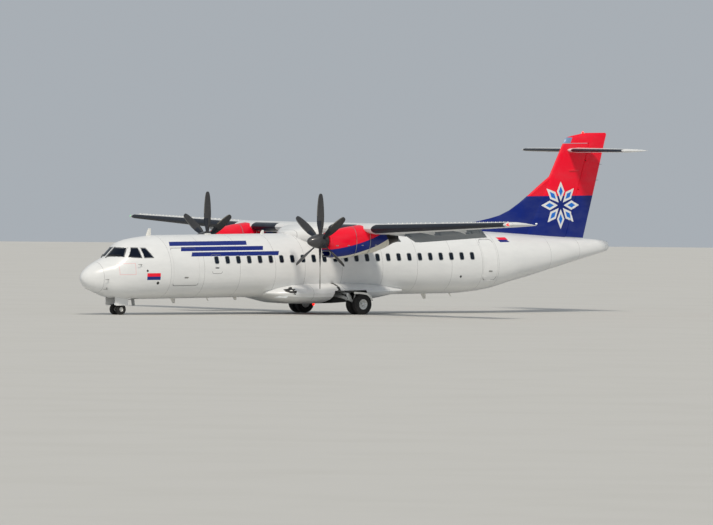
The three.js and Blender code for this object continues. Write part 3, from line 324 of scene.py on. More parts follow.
@dataclass(frozen=True)
class Plain:
    """A finish of one colour with a fine grain, the base of the simple finishes below."""

    name: str
    shade: str
    worn_shade: str
    roughness: float
    grain_mm: float
    relief_mm: float = 0.3
    metallic: float = 0.0
    ior: float = 1.5
    wear: float = 0.5
    coat: float = 0.0
    glow: float = 0.0

    def make(self) -> bpy.types.Material:
        """Builds the material."""
        material = bpy.data.materials.new(self.name)
        material.use_nodes = True
        tree = material.node_tree
        point = add_node(tree, "ShaderNodeTexCoord").outputs["Object"]
        grain = add_node(tree, NOISE, {"Vector": point, "Scale": 1000 / self.grain_mm, "Detail": 5.0})
        broad = add_node(tree, NOISE, {"Vector": point, "Scale": 90 / self.grain_mm, "Detail": 6.0})
        worn = add_node(tree, REMAP, (broad, 0.45, 0.75, 0.0, self.wear))
        colours = {"Factor": worn, "A": linear(self.shade), "B": linear(self.worn_shade)}
        low, high = max(self.roughness - 0.08, 0.02), min(self.roughness + 0.12, 1.0)
        relief = {"Height": grain, "Strength": 0.5, "Distance": self.relief_mm / 1000}
        look = {
            "Base Color": add_node(tree, "ShaderNodeMix", colours, data_type="RGBA"),
            "Roughness": add_node(tree, REMAP, {0: broad, 3: low, 4: high}),
            "Normal": add_node(tree, "ShaderNodeBump", relief),
            "Metallic": self.metallic,
            "IOR": self.ior,
            "Coat Weight": self.coat,
        }
        if self.glow:
            look |= {"Emission Color": linear(self.shade), "Emission Strength": self.glow}
        feed(tree, tree.nodes["Principled BSDF"], look)
        return material


# Meshes


def add_object(
    name: str, material: bpy.types.Material, fill: Fill, *given: object, sharp: float = 35.0
) -> bpy.types.Object:
    """Makes an object from mesh code and puts it in the scene.

    Args:
        name: the object's name.
        material: its material.
        fill: fills the mesh, which it is called with, and what is given.
        given: what else it is called with.
        sharp: edges over this angle in degrees stay sharp.

    Returns:
        The object.
    """
    shape = bmesh.new()
    fill(shape, *given)
    bmesh.ops.recalc_face_normals(shape, faces=shape.faces)
    mesh = bpy.data.meshes.new(name)
    shape.to_mesh(mesh)
    shape.free()
    mesh.shade_smooth()
    mesh.set_sharp_from_angle(angle=math.radians(sharp))
    mesh.materials.append(material)
    made = bpy.data.objects.new(name, mesh)
    bpy.context.scene.collection.objects.link(made)
    return made


def add_piece(
    name: str,
    body: str,
    slot: str,
    finish: "Finish",
    fill: Fill,
    *given: object,
    replaced: Sequence[str] = (),
    sharp: float = 35.0,
) -> None:
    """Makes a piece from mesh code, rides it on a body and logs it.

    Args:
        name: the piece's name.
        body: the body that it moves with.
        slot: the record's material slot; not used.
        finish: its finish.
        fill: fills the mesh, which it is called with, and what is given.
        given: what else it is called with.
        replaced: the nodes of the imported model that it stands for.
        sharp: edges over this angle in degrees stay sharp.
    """
    piece = add_object(name, finish.material, fill, *given, sharp=sharp)
    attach(piece, body)
    if replaced:
        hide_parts(*replaced)
    log.info("%s: %d faces on %s", name, len(piece.data.polygons), body)


def loft(shape: Shape, rings: Sequence[Ring], capped: bool = True) -> None:
    """Skins a row of rings that have equal counts of points.

    Args:
        shape: the mesh that takes the faces.
        rings: the rings in order.
        capped: closes the first and the last ring with a face.
    """
    rows = [[shape.verts.new(point) for point in ring] for ring in rings]
    count = len(rows[0])
    for near, far in zip(rows, rows[1:]):
        for i in range(count):
            j = (i + 1) % count
            shape.faces.new((near[i], near[j], far[j], far[i]))
    if capped:
        shape.faces.new(rows[0])
        shape.faces.new(rows[-1])


def turns(count: int) -> list[float]:
    """Equal steps of angle round a full turn."""
    return [2 * math.pi * i / count for i in range(count)]


def circle(centre: Vector, across: Vector, up: Vector, radius: float, count: int) -> Ring:
    """A ring of points around a centre, in the plane of two unit vectors."""
    return [centre + across * radius * math.cos(t) + up * radius * math.sin(t) for t in turns(count)]


def rod(shape: Shape, points: Sequence[Vector], radii: float | Sequence[float], count: int = 12) -> None:
    """A round rod along points, with one radius or with a radius at each.

    Args:
        shape: the mesh that takes the faces.
        points: the points of its middle line.
        radii: the radius, or one for each point.
        count: how many points go round.
    """
    rings = []
    for i, point in enumerate(points):
        before, after = points[max(i - 1, 0)], points[min(i + 1, len(points) - 1)]
        across, up = square_to((after - before).normalized())
        rings.append(circle(point, across, up, radii if isinstance(radii, float) else radii[i], count))
    loft(shape, rings)


def pod(shape: Shape, start: Vector, end: Vector, radius: float) -> None:
    """A long drop shape between two points, blunt in front, fullest a third of the way back and thin behind."""
    shares = [0.0, 0.02, 0.08, 0.2, 0.35, 0.5, 0.65, 0.8, 0.92, 1.0]
    radii = [max(radius * 1.9 * math.sqrt(s) * (1 - s) ** 0.9 / 0.73, 0.0015) for s in shares]
    rod(shape, [start.lerp(end, s) for s in shares], radii, 16)


def dome(shape: Shape, foot: Vector, way: Vector, radius: float, height: float) -> None:
    """A domed lamp or cap on a foot, standing along a unit vector."""
    steps = [math.radians(15 * i) for i in range(7)]
    profile = [(-SUNK, radius), (0.0, radius)]
    profile += [(0.25 * height + 0.75 * height * math.sin(a), radius * math.cos(a) * 0.92) for a in steps]
    turned(shape, foot, way, profile, 24)


def square_to(axis: Vector) -> tuple[Vector, Vector]:
    """Two unit vectors square to an axis and to each other."""
    across = axis.cross(Z if abs(axis.z) < 0.8 else X).normalized()
    return across, axis.cross(across).normalized()


def turned(shape: Shape, centre: Vector, axis: Vector, profile: Points, count: int = 48) -> None:
    """A turned solid of revolution.

    Args:
        shape: the mesh that takes the faces.
        centre: the origin of the profile.
        axis: the unit vector that it turns about.
        profile: distances along the axis and radii; the shape is closed if the first and last points meet.
        count: how many points go round.
    """
    across, up = square_to(axis)
    rings = [circle(centre + axis * along, across, up, max(radius, 0.0004), count) for along, radius in profile]
    loft(shape, rings, capped=profile[0] != profile[-1])
    bmesh.ops.remove_doubles(shape, verts=shape.verts, dist=1e-5)


def slab(shape: Shape, outline: Ring, thickness: Vector) -> None:
    """A flat plate with a softened edge on its far side.

    Args:
        shape: the mesh that takes the faces.
        outline: the corner points of one side.
        thickness: the way and the distance to the other side.
    """
    middle = sum(outline, Vector()) / len(outline)
    edge = min(thickness.length * 0.3, 0.004)
    far = [p + (middle - p).normalized() * edge + thickness for p in outline]
    loft(shape, [outline, [p + thickness * 0.7 for p in outline], far])


def rounded(width: float, height: float, corner: float) -> list[Pair]:
    """The outline of a rectangle with round corners, about its middle.

    Args:
        width: its full width.
        height: its full height.
        corner: the corner radius.

    Returns:
        The points, in order, five to a corner.
    """
    points = []
    for turn, (sx, sy) in enumerate(((1, 1), (-1, 1), (-1, -1), (1, -1))):
        for step in range(5):
            angle = math.pi / 2 * (turn + step / 4)
            x = sx * (width / 2 - corner) + corner * math.cos(angle)
            y = sy * (height / 2 - corner) + corner * math.sin(angle)
            points.append((x, y))
    return points


def divided(line: Points, parts: int, closed: bool = True) -> list[Pair]:
    """A line with each span cut into equal parts.

    Args:
        line: the points of the line.
        parts: how many parts each span gets.
        closed: joins the last point to the first.

    Returns:
        The points.
    """
    points = []
    for (u, v), (next_u, next_v) in zip(line, (*line[1:], line[0]) if closed else line[1:]):
        points += [(u + (next_u - u) * k / parts, v + (next_v - v) * k / parts) for k in range(parts)]
    return points if closed else points + [line[-1]]


def eased(points: Sequence[Vector]) -> list[Vector]:
    """A smooth line through points, by Catmull and Rom's rule, in five steps a span."""
    line = []
    for i in range(len(points) - 1):
        before, start, end, after = (points[min(max(i + k, 0), len(points) - 1)] for k in (-1, 0, 1, 2))
        for t in (0.0, 0.2, 0.4, 0.6, 0.8):
            flat = start * 2 + (end - before) * t
            curved = (before * 2 - start * 5 + end * 4 - after) * t * t
            twisted = (start * 3 - before - end * 3 + after) * t * t * t
            line.append((flat + curved + twisted) / 2)
    return line + [points[-1]]


@dataclass
class Surface:
    """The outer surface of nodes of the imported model, for seating pieces on it."""

    nodes: tuple[str, ...]
    tree: BVHTree = field(init=False)

    def __post_init__(self) -> None:
        """Gathers the nodes' faces."""
        points, faces = [], []
        for name in self.nodes:
            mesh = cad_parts[name].data
            start = len(points)
            points += [vertex.co.copy() for vertex in mesh.vertices]
            faces += [[start + i for i in polygon.vertices] for polygon in mesh.polygons]
        self.tree = BVHTree.FromPolygons(points, faces)

    def met(self, start: Vector, way: Vector, lift: float = 0.0) -> Vector | None:
        """The point that a ray first meets, raised by the lift, or None."""
        place, normal, _, _ = self.tree.ray_cast(start, way)
        return None if place is None else place + normal * lift

    def seen(self, start: Vector, way: Vector, lift: float = 0.0) -> Vector:
        """The point that a ray first meets, raised by the lift, where it has to meet one."""
        found = self.met(start, way, lift)
        if found is None:
            raise ValueError(f"no surface of {self.nodes} from {start} along {way}")
        return found

    def beside(self, station: float, z: float, side: Side, lift: float = 0.0) -> Vector:
        """The point seen from one side at a station and a height."""
        return self.seen(at(station, side.value * BESIDE, z), -side.value * Y, lift)

    def above(self, station: float, y: float, lift: float = 0.0, from_below: bool = False) -> Vector:
        """The point seen from above, or from below, at a station and a distance to the left."""
        height, way = (BELOW, UP) if from_below else (OVERHEAD, -UP)
        return self.seen(at(station, y, height), way, lift)

    def ahead(self, y: float, z: float, lift: float = 0.0) -> Vector:
        """The point seen from the front at a distance to the left and a height."""
        return self.seen(at(AHEAD, y, z), AFT, lift)

    def seat(self, side: Side, station: float = 0.0, z: float = 0.0) -> Mapper:
        """A mapper of distances aft of a station and above a height to one side of the surface."""
        return lambda aft, up, lift: self.beside(station + aft, z + up, side, lift)


def aft_edge(node: str, share: float, upward: bool = False) -> Vector:
    """A point of a node's aft edge, found by looking down, or in from the left, from behind it.

    Args:
        node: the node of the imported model.
        share: how far along the node, from its low end in Y, or in height.
        upward: the edge stands upright.

    Returns:
        The point.
    """
    low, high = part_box(node)
    surface = Surface((node,))
    place = low.lerp(high, share)
    for step in range(400):
        x = low.x + 0.003 + 0.005 * step
        start = Vector((x, BESIDE, place.z)) if upward else Vector((x, place.y, OVERHEAD))
        found = surface.met(start, -Y if upward else -Z)
        if found is not None:
            return found
    raise ValueError(f"no aft edge on {node}")


def drawn_in(outline: Points, by: float) -> list[Pair]:
    """A closed outline moved inward along the normals of its corners."""
    count = len(outline)
    area = sum(outline[i - 1][0] * outline[i][1] - outline[i][0] * outline[i - 1][1] for i in range(count))
    turn = 1 if area > 0 else -1
    result = []
    for i in range(count):
        before, here, after = (Vector(outline[k % count]) for k in (i - 1, i, i + 1))
        along = (here - before).normalized() + (after - here).normalized()
        inward = Vector((-along.y, along.x)).normalized() * turn
        result.append((here.x + inward.x * by, here.y + inward.y * by))
    return result


def frame_ring(shape: Shape, outline: Points, width: float, height: float, seat: Mapper) -> None:
    """A raised band along a closed outline on a surface.

    Args:
        shape: the mesh that takes the faces.
        outline: the band's outer edge.
        width: the band's width, measured inward.
        height: how far it stands proud.
        seat: maps two coordinates and a lift to a point on the surface.
    """
    section = ((0.0, -SUNK), (0.0, 0.0), (0.25, height), (0.75, height), (1.0, 0.0), (1.0, -SUNK))
    rows = [(drawn_in(outline, width * share) if share else outline, lift) for share, lift in section]
    rings = [[seat(u, v, lift) for u, v in points] for points, lift in rows]
    loft(shape, rings + rings[:1], capped=False)
    bmesh.ops.remove_doubles(shape, verts=shape.verts, dist=1e-6)


def patch(shape: Shape, outline: Points, height: float, seat: Mapper) -> None:
    """A thin sheet that fills an outline on a surface, with walls going into it.

    Args:
        shape: the mesh that takes the faces.
        outline: its edge.
        height: how far it stands proud.
        seat: maps two coordinates and a lift to a point on the surface.
    """
    middle_u = sum(u for u, _ in outline) / len(outline)
    middle_v = sum(v for _, v in outline) / len(outline)
    rings = [[seat(u, v, lift) for u, v in outline] for lift in (-SUNK, height)]
    for k in (0.66, 0.33):
        shrunk = [(middle_u + (u - middle_u) * k, middle_v + (v - middle_v) * k) for u, v in outline]
        rings.append([seat(u, v, height) for u, v in shrunk])
    loft(shape, rings)


def at_each(shape: Shape, seats: Sequence[Mapper], fill: Fill, *given: object) -> None:
    """Fills the mesh with the same form on each of some seats."""
    for seat in seats:
        fill(shape, *given, seat)


# Liveries


def box_mask(tree: Tree, place: Place, stations: Pair, heights: Pair) -> Source:
    """A mask of the part of the surface between two stations and two heights."""
    return all_of(tree, within(tree, place.station, *stations), within(tree, place.z, *heights))


def slanted_mask(tree: Tree, place: Place, stations: Pair, heights: Pair, slant: float) -> Source:
    """A mask of a bar whose ends lean aft as they rise.

    Args:
        tree: the node tree.
        place: the shaded point.
        stations: its ends at its lower edge.
        heights: its lower and upper edge.
        slant: how far a metre of height moves its ends.

    Returns:
        The mask.
    """
    leaning = add_node(tree, MATH, (place.z, -slant, place.station), operation="MULTIPLY_ADD")
    low, high = (station - slant * heights[0] for station in stations)
    return all_of(tree, within(tree, leaning, low, high), within(tree, place.z, *heights))


def plain_grey(tree: Tree, place: Place) -> Colour:
    """Grey all over: painted shade of the flaps, which hang in the wing's shade."""
    return Shade.GREY


@dataclass(frozen=True)
class Cabin:
    """The inside of the fuselage: what is deeper than the outer sheet gets the lining's colour and the floor's, and
    the nose gear bay gets near black painted shade.
    """

    half_width: float = 1.4325
    widest_z: float = 1.9675
    half_height_up: float = 1.4325
    half_height_down: float = 1.1975
    power_up: float = 2.0
    power_down: float = 2.4
    depth_limit: float = 0.93
    taper_from: float = 18.9
    keel_rise: float = 0.106
    rooms: tuple[Pair, ...] = ((3.61, 5.16), (19.39, 20.49))
    room_heights: Pair = (1.3, 3.2)
    floor_top: float = 1.33
    nose_bay: Pair = (1.438, 2.642)
    nose_bay_heights: Pair = (0.5, 1.152)
    nose_bay_half: float = 0.359

    def lay(self, tree: Tree, place: Place, colour: Colour) -> Node:
        """Lays the inside colours over the outside one.

        Args:
            tree: the node tree.
            place: the shaded point.
            colour: the colour of the outside.

        Returns:
            The colour.
        """
        rise = add_node(tree, MATH, (place.z, self.widest_z), operation="SUBTRACT")
        low = add_node(tree, MATH, (rise, 0.0), operation="LESS_THAN")
        aft = add_node(tree, MATH, (place.station, self.taper_from), operation="SUBTRACT")
        past = add_node(tree, MATH, (aft, 0.0), operation="MAXIMUM")
        drop = self.half_height_down - self.half_height_up
        below = add_node(tree, MATH, (past, -self.keel_rise, drop), operation="MULTIPLY_ADD")
        half = add_node(tree, MATH, (low, below, self.half_height_up), operation="MULTIPLY_ADD")
        squarer = self.power_down - self.power_up
        power = add_node(tree, MATH, (low, squarer, self.power_up), operation="MULTIPLY_ADD")
        parts = []
        for value, limit in ((rise, half), (place.y, self.half_width)):
            size = add_node(tree, MATH, (value,), operation="ABSOLUTE")
            share = add_node(tree, MATH, (size, limit), operation="DIVIDE")
            parts.append(add_node(tree, MATH, (share, power), operation="POWER"))
        depth = add_node(tree, MATH, parts, operation="ADD")
        inside = add_node(tree, MATH, (depth, self.depth_limit), operation="LESS_THAN")
        for stations in self.rooms:
            walls = all_of(tree, inside, box_mask(tree, place, stations, self.room_heights))
            floor = all_of(tree, walls, within(tree, place.z, self.room_heights[0], self.floor_top))
            colour = over(tree, over(tree, colour, walls, Shade.LINING), floor, Shade.DARK)
        # The nose gear bay gets the near black painted shade.
        bay_shade_mask = box_mask(tree, place, self.nose_bay, self.nose_bay_heights)
        bay_shade_mask = all_of(tree, bay_shade_mask, within(tree, place.y, -self.nose_bay_half, self.nose_bay_half))
        return over(tree, colour, bay_shade_mask, Shade.BAY)


# Three bars along the cabin roof and a patch of two colours at each end. Columns: stations, heights, slant, colour.
FUSELAGE_MARKS = (
    ((3.7, 7.6), (2.96, 3.13), 0.6, Shade.BLUE),
    ((4.15, 8.3), (2.74, 2.91), 0.6, Shade.BLUE),
    ((4.6, 9.0), (2.52, 2.69), 0.6, Shade.BLUE),
    ((2.45, 3.04), (1.58, 1.72), 0.0, Shade.BLUE),
    ((2.45, 3.04), (1.72, 1.86), 0.0, Shade.RED),
    ((20.72, 21.24), (2.91, 3.01), -0.8, Shade.BLUE),
    ((20.72, 21.24), (3.01, 3.11), -0.8, Shade.RED),
)


def fuselage_livery(tree: Tree, place: Place) -> Colour:
    """White with plain marks and the faint red outline of a panel low on the nose, and the cabin inside."""
    colour: Colour = Shade.WHITE
    for stations, heights, slant, shade in FUSELAGE_MARKS:
        colour = over(tree, colour, slanted_mask(tree, place, stations, heights, slant), shade)
    outer = box_mask(tree, place, (1.3, 1.98), (1.8, 2.28))
    inner = box_mask(tree, place, (1.325, 1.955), (1.825, 2.255))
    border = add_node(tree, MATH, (outer, inner), operation="SUBTRACT")
    faint = add_node(tree, MATH, (border, 0.3), operation="MULTIPLY")
    return Cabin().lay(tree, place, over(tree, colour, faint, Shade.RED))


def belly_livery(tree: Tree, place: Place) -> Colour:
    """White, with near black painted shade inside the bays of the main gear."""
    out = add_node(tree, MATH, (place.y,), operation="ABSOLUTE")
    front = add_node(tree, MATH, (place.z, -0.3916, place.station), operation="MULTIPLY_ADD")
    rear = add_node(tree, MATH, (place.z, 0.2378, place.station), operation="MULTIPLY_ADD")
    # The four pairs of sides of the bays. Columns: what is measured, low end, high end.
    bounds = ((front, 11.0785, 14.0), (rear, 11.0, 13.365), (out, 0.697, 2.6), (place.z, 0.0, 1.017))
    return over(tree, Shade.WHITE, all_of(tree, *(within(tree, *bound) for bound in bounds)), Shade.BAY)


def wing_livery(tree: Tree, place: Place) -> Colour:
    """White, with a dark boot on the leading edge between the body and each nacelle."""
    out = add_node(tree, MATH, (place.y,), operation="ABSOLUTE")
    boot = all_of(tree, within(tree, out, 1.9, 3.62), within(tree, place.station, 11.0, 11.37))
    return over(tree, Shade.WHITE, boot, Shade.BOOT)


def tailplane_livery(tree: Tree, place: Place) -> Colour:
    """White, with dark boots along both leading edges."""
    out = add_node(tree, MATH, (place.y,), operation="ABSOLUTE")
    swept = add_node(tree, MATH, (out, -0.087, place.station), operation="MULTIPLY_ADD")
    boot = all_of(tree, within(tree, out, 0.3, 3.44), within(tree, swept, 24.9, 25.13))
    return over(tree, Shade.WHITE, boot, Shade.BOOT)


def nacelle_livery(tree: Tree, place: Place) -> Colour:
    """Red above a blue band above a cream chin, parted by curves that rise aft, with soot by the exhaust."""
    colour: Colour = Shade.RED
    for start, terms, shade in (
        (9.5, (2.80, 0.098, 0.058), Shade.BLUE),
        (9.6, (2.47, 0.039, 0.081), Shade.CREAM),
    ):
        top = curve_of(tree, place.station, start, terms)
        colour = over(tree, colour, add_node(tree, MATH, (place.z, top), operation="LESS_THAN"), shade)
    leaning = add_node(tree, MATH, (place.z, 0.5, place.station), operation="MULTIPLY_ADD")
    return over(tree, colour, within(tree, leaning, 13.95, 16.0), Shade.SOOT)


@dataclass(frozen=True)
class Star:
    """A star of eight lozenges, the plain ornament of the tail."""

    station: float = 24.62
    z: float = 4.42
    reach: float = 1.02
    lozenge_middle: float = 0.58
    white_half_length: float = 0.42
    white_half_width: float = 0.2
    inner_share: float = 0.52

    def masks(self, tree: Tree, place: Place) -> tuple[Node, Node]:
        """The masks of the star's parts.

        Args:
            tree: the node tree.
            place: the shaded point.

        Returns:
            The mask of the white lozenges, and that of the smaller blue ones on them.
        """
        aft = add_node(tree, MATH, (place.station, self.station), operation="SUBTRACT")
        up = add_node(tree, MATH, (place.z, self.z), operation="SUBTRACT")
        angle = add_node(tree, MATH, (up, aft), operation="ARCTAN2")
        folded = add_node(tree, MATH, (angle, math.pi / 8), operation="PINGPONG")
        away = add_node(tree, "ShaderNodeCombineXYZ", (aft, up))
        distance = add_node(tree, "ShaderNodeVectorMath", (away,), operation="LENGTH")
        parts = []
        for operation, middle, half in (
            ("COSINE", self.lozenge_middle, self.white_half_length),
            ("SINE", 0.0, self.white_half_width),
        ):
            turn = add_node(tree, MATH, (folded,), operation=operation)
            part = add_node(tree, MATH, (turn, distance, -middle * self.reach), operation="MULTIPLY_ADD")
            size = add_node(tree, MATH, (part,), operation="ABSOLUTE")
            parts.append(add_node(tree, MATH, (size, half * self.reach), operation="DIVIDE"))
        total = add_node(tree, MATH, parts, operation="ADD")
        white = add_node(tree, MATH, (total, 1.0), operation="LESS_THAN")
        return white, add_node(tree, MATH, (total, self.inner_share), operation="LESS_THAN")


def tail_livery(tree: Tree, place: Place) -> Colour:
    """Red over dark blue, parted level, with the star across the divide and a bare edge near the top."""
    low = add_node(tree, MATH, (place.z, 4.82), operation="LESS_THAN")
    white, blue = Star().masks(tree, place)
    bare_edge = slanted_mask(tree, place, (24.7, 25.16), (7.06, 7.3), 0.5)
    colour: Colour = Shade.RED
    for mask, shade in ((low, Shade.BLUE), (bare_edge, Shade.STEEL_BLUE), (white, Shade.WHITE), (blue, Shade.SKY)):
        colour = over(tree, colour, mask, shade)
    return colour


class Finish(Enum):
    """The finishes of the aircraft, each by the real one that it stands for."""

    # Gloss enamel on riveted aluminium: flat white with fine dark joints every few frames.
    FUSELAGE_ENAMEL = PaintedSkin(
        "white_enamel_on_aluminium",
        fuselage_livery,
        (0.7, 3.52, 5.2, 7.0, 8.8, 10.3, 12.2, 14.3, 16.1, 17.9, 19.5, 20.38, 23.4, 25.2, 26.9),
    )
    # Gloss enamel on moulded composite fairings: smoother than the sheet, with few joints.
    FAIRING_ENAMEL = PaintedSkin("white_enamel_on_composite", belly_livery, (10.4, 12.0, 14.6), rivet_pitch=0.2)
    # Gloss enamel on the wing's aluminium boxes: joints run along the ribs.
    WING_ENAMEL = PaintedSkin(
        "white_enamel_on_wing_sheet",
        wing_livery,
        (12.0,),
        (4.9, 6.6, 8.3, 9.8, 11.5, 13.2, -4.9, -6.6, -8.3, -9.8, -11.5, -13.2),
    )
    # Semi gloss enamel on bonded flap panels, scuffed by spray from the wheels; their grey is painted shade of the
    # flaps under the wing.
    FLAP_ENAMEL = PaintedSkin(
        "grey_enamel_on_flap", plain_grey, (), (2.6, 5.9, 8.1, -2.6, -5.9, -8.1), gloss_roughness=0.38, dirt=0.3
    )
    # Bright red and dark blue gloss enamel on the engine cowls, with their split lines.
    COWL_ENAMEL = PaintedSkin("red_and_blue_enamel_on_cowl", nacelle_livery, (9.55, 11.45, 12.3))
    # The same enamels on the moulded fin and rudder.
    TAIL_ENAMEL = PaintedSkin("red_and_blue_enamel_on_fin", tail_livery, (), rivet_pitch=0.2)
    # Gloss enamel on the small bonded tailplane and elevators.
    TAILPLANE_ENAMEL = PaintedSkin("white_enamel_on_tailplane", tailplane_livery, (), (1.9, -1.9), rivet_pitch=0.2)
    # Moulded neoprene inflatable boot: near black, satin, with fine ribs.
    DEICER_RUBBER = Plain("neoprene_deicer_boot", "#0D1624", "#1D2836", 0.5, 12, relief_mm=0.6, wear=0.4)
    # Laminated heated glass: a mirror gloss over a deep blue black, which is painted shade of the dim cockpit behind
    # it.
    HEATED_GLASS = Plain("laminated_heated_glass", "#020C1C", "#061226", 0.08, 400, relief_mm=0.02, ior=1.3)
    # Stretched acrylic cabin pane over a dim cabin.
    CABIN_ACRYLIC = Plain("stretched_acrylic_pane", "#0C1622", "#1B2735", 0.1, 300, relief_mm=0.02, ior=1.35)
    # Pale moulded surround of a cabin window, satin.
    WINDOW_MOULDING = Plain("moulded_window_surround", "#A8ACAF", "#8F9396", 0.4, 5, wear=0.3)
    # Extruded neoprene door seal and panel gap filler, matt and greyed by the weather.
    SEAL_RUBBER = Plain("neoprene_seal", "#6B6E71", "#4C4F52", 0.6, 4)
    # Chromed and polished rod: a bright mirror.
    CHROMED_STEEL = Plain("hard_chromed_steel", "#D5D7D8", "#C0C2C3", 0.12, 60, relief_mm=0.02, metallic=1.0)
    # Satin stainless strip, brushed along its length.
    BRUSHED_STEEL = Plain("brushed_stainless_steel", "#A9AAA8", "#8B8C8A", 0.32, 3, relief_mm=0.1, metallic=1.0)
    # Heat tinted exhaust sheet: brown grey, matt with soot.
    EXHAUST_STEEL = Plain("heat_tinted_exhaust_steel", "#4B433C", "#15120F", 0.5, 30, metallic=0.8, wear=0.9)
    # Epoxy enamel on forged gear legs, oily in patches.
    GEAR_ENAMEL = Plain("epoxy_enamel_on_forging", "#BFC3C4", "#6E6C66", 0.38, 25, wear=0.45, coat=0.2)
    # Aluminium wheel halves, silver lacquer dulled by brake dust.
    WHEEL_LACQUER = Plain("lacquered_aluminium_wheel", "#CDCFCE", "#8C8984", 0.4, 12, metallic=0.35)
    # Vulcanised tyre rubber: matt charcoal with dusty scuffs.
    TYRE_RUBBER = Plain("vulcanised_tyre_rubber", "#1B1B1C", "#3A3937", 0.82, 6, relief_mm=0.8, wear=0.45)
    # Polyurethane coated carbon blade, matt dark grey.
    BLADE_COATING = Plain("polyurethane_coated_carbon", "#303134", "#48494B", 0.5, 8, wear=0.35)
    # Dark grey gloss enamel on the composite spinner.
    SPINNER_ENAMEL = Plain("dark_enamel_on_spinner", "#3A3A3D", "#4B4A4B", 0.3, 20, wear=0.3, coat=0.5)
    # Brushed primer on the doors' inner ribs, dusty and matt.
    BAY_PRIMER = Plain("zinc_chromate_primer", "#5D625C", "#2C2E2B", 0.6, 40, wear=0.7)
    # Ribbed vinyl on the airstair's steps, worn by shoes.
    FLOOR_COVERING = Plain("ribbed_vinyl_floor", "#3B3F45", "#50545A", 0.7, 8, relief_mm=0.8)
    # Cast lamp glass, clear over a bright reflector.
    LAMP_GLASS = Plain("cast_lamp_glass", "#E8ECEF", "#C9CED2", 0.08, 30, relief_mm=0.2, coat=1.0, glow=0.3)
    # Red lamp glass, lit.
    RED_LAMP = Plain("red_lamp_glass", "#FF1E14", "#D8100A", 0.12, 30, relief_mm=0.2, coat=1.0, glow=2.5)
    # Green lamp glass, lit.
    GREEN_LAMP = Plain("green_lamp_glass", "#12C45A", "#0C9A44", 0.12, 30, relief_mm=0.2, coat=1.0, glow=1.5)
    # White epoxy enamel over moulded antennas and masts: satin and even.
    ANTENNA_ENAMEL = Plain("white_epoxy_on_antenna", "#E2E2DE", "#C9C8C2", 0.35, 8, wear=0.35, coat=0.2)
    # Red gloss enamel on small moulded fairings.
    RED_LACQUER = Plain("red_enamel_on_fairing", Shade.RED.value, "#C8072A", 0.28, 20, wear=0.2, coat=0.5)
    # Electroformed nickel strip on the blades' edges, rubbed bright.
    NICKEL_EDGE = Plain("electroformed_nickel_edge", "#8F8B83", "#6F6B64", 0.28, 6, metallic=1.0)
    # Unpainted antenna and probe fittings in matt black epoxy.
    BLACK_EPOXY = Plain("black_epoxy_fitting", "#151618", "#26272A", 0.5, 6, wear=0.3)
    # Power floated concrete with a pale seal: smooth and matt, hardly mottled.
    PALE_CONCRETE = Plain("sealed_pale_concrete", "#C6C5C1", "#BBBAB5", 0.75, 400, relief_mm=0.2, wear=0.3)

    @property
    def material(self) -> bpy.types.Material:
        """The finish's material, made at its first use."""
        return bpy.data.materials.get(self.value.name) or self.value.make()


# Sub-assemblies


def soften(node: str) -> None:
    """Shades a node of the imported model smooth, but for its edges over 35 degrees, with modifiers alone."""
    tree = bpy.data.node_groups.get("soft_shading")
    if tree is None:
        tree = bpy.data.node_groups.new("soft_shading", "GeometryNodeTree")
        for way in ("INPUT", "OUTPUT"):
            tree.interface.new_socket("Mesh", in_out=way, socket_type="NodeSocketGeometry")
        given = add_node(tree, "NodeGroupInput")
        angle = add_node(tree, "GeometryNodeInputMeshEdgeAngle")
        shallow = add_node(tree, "FunctionNodeCompare", (angle, math.radians(35)), operation="LESS_THAN")
        joined = add_node(tree, "GeometryNodeMergeByDistance", {"Geometry": given, "Distance": 1e-5})
        shade = "GeometryNodeSetShadeSmooth"
        faces = add_node(tree, shade, {"Geometry": joined, "Shade Smooth": True})
        edges = add_node(tree, shade, {"Geometry": faces, "Shade Smooth": shallow}, domain="EDGE")
        add_node(tree, "NodeGroupOutput", (edges,))
    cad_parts[node].modifiers.new("soft_shading", "NODES").node_group = tree


def dress(finish: Finish, *nodes: str) -> None:
    """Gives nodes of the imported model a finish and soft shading."""
    for node in nodes:
        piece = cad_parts[node]
        piece.data.materials.clear()
        piece.data.materials.append(finish.material)
        soften(node)
    log.info("%s on %s", finish.value.name, ", ".join(nodes))


def both(*names: str) -> list[str]:
    """The names of nodes on the left and on the right."""
    return [f"{name}_{side.label}" for name in names for side in Side]


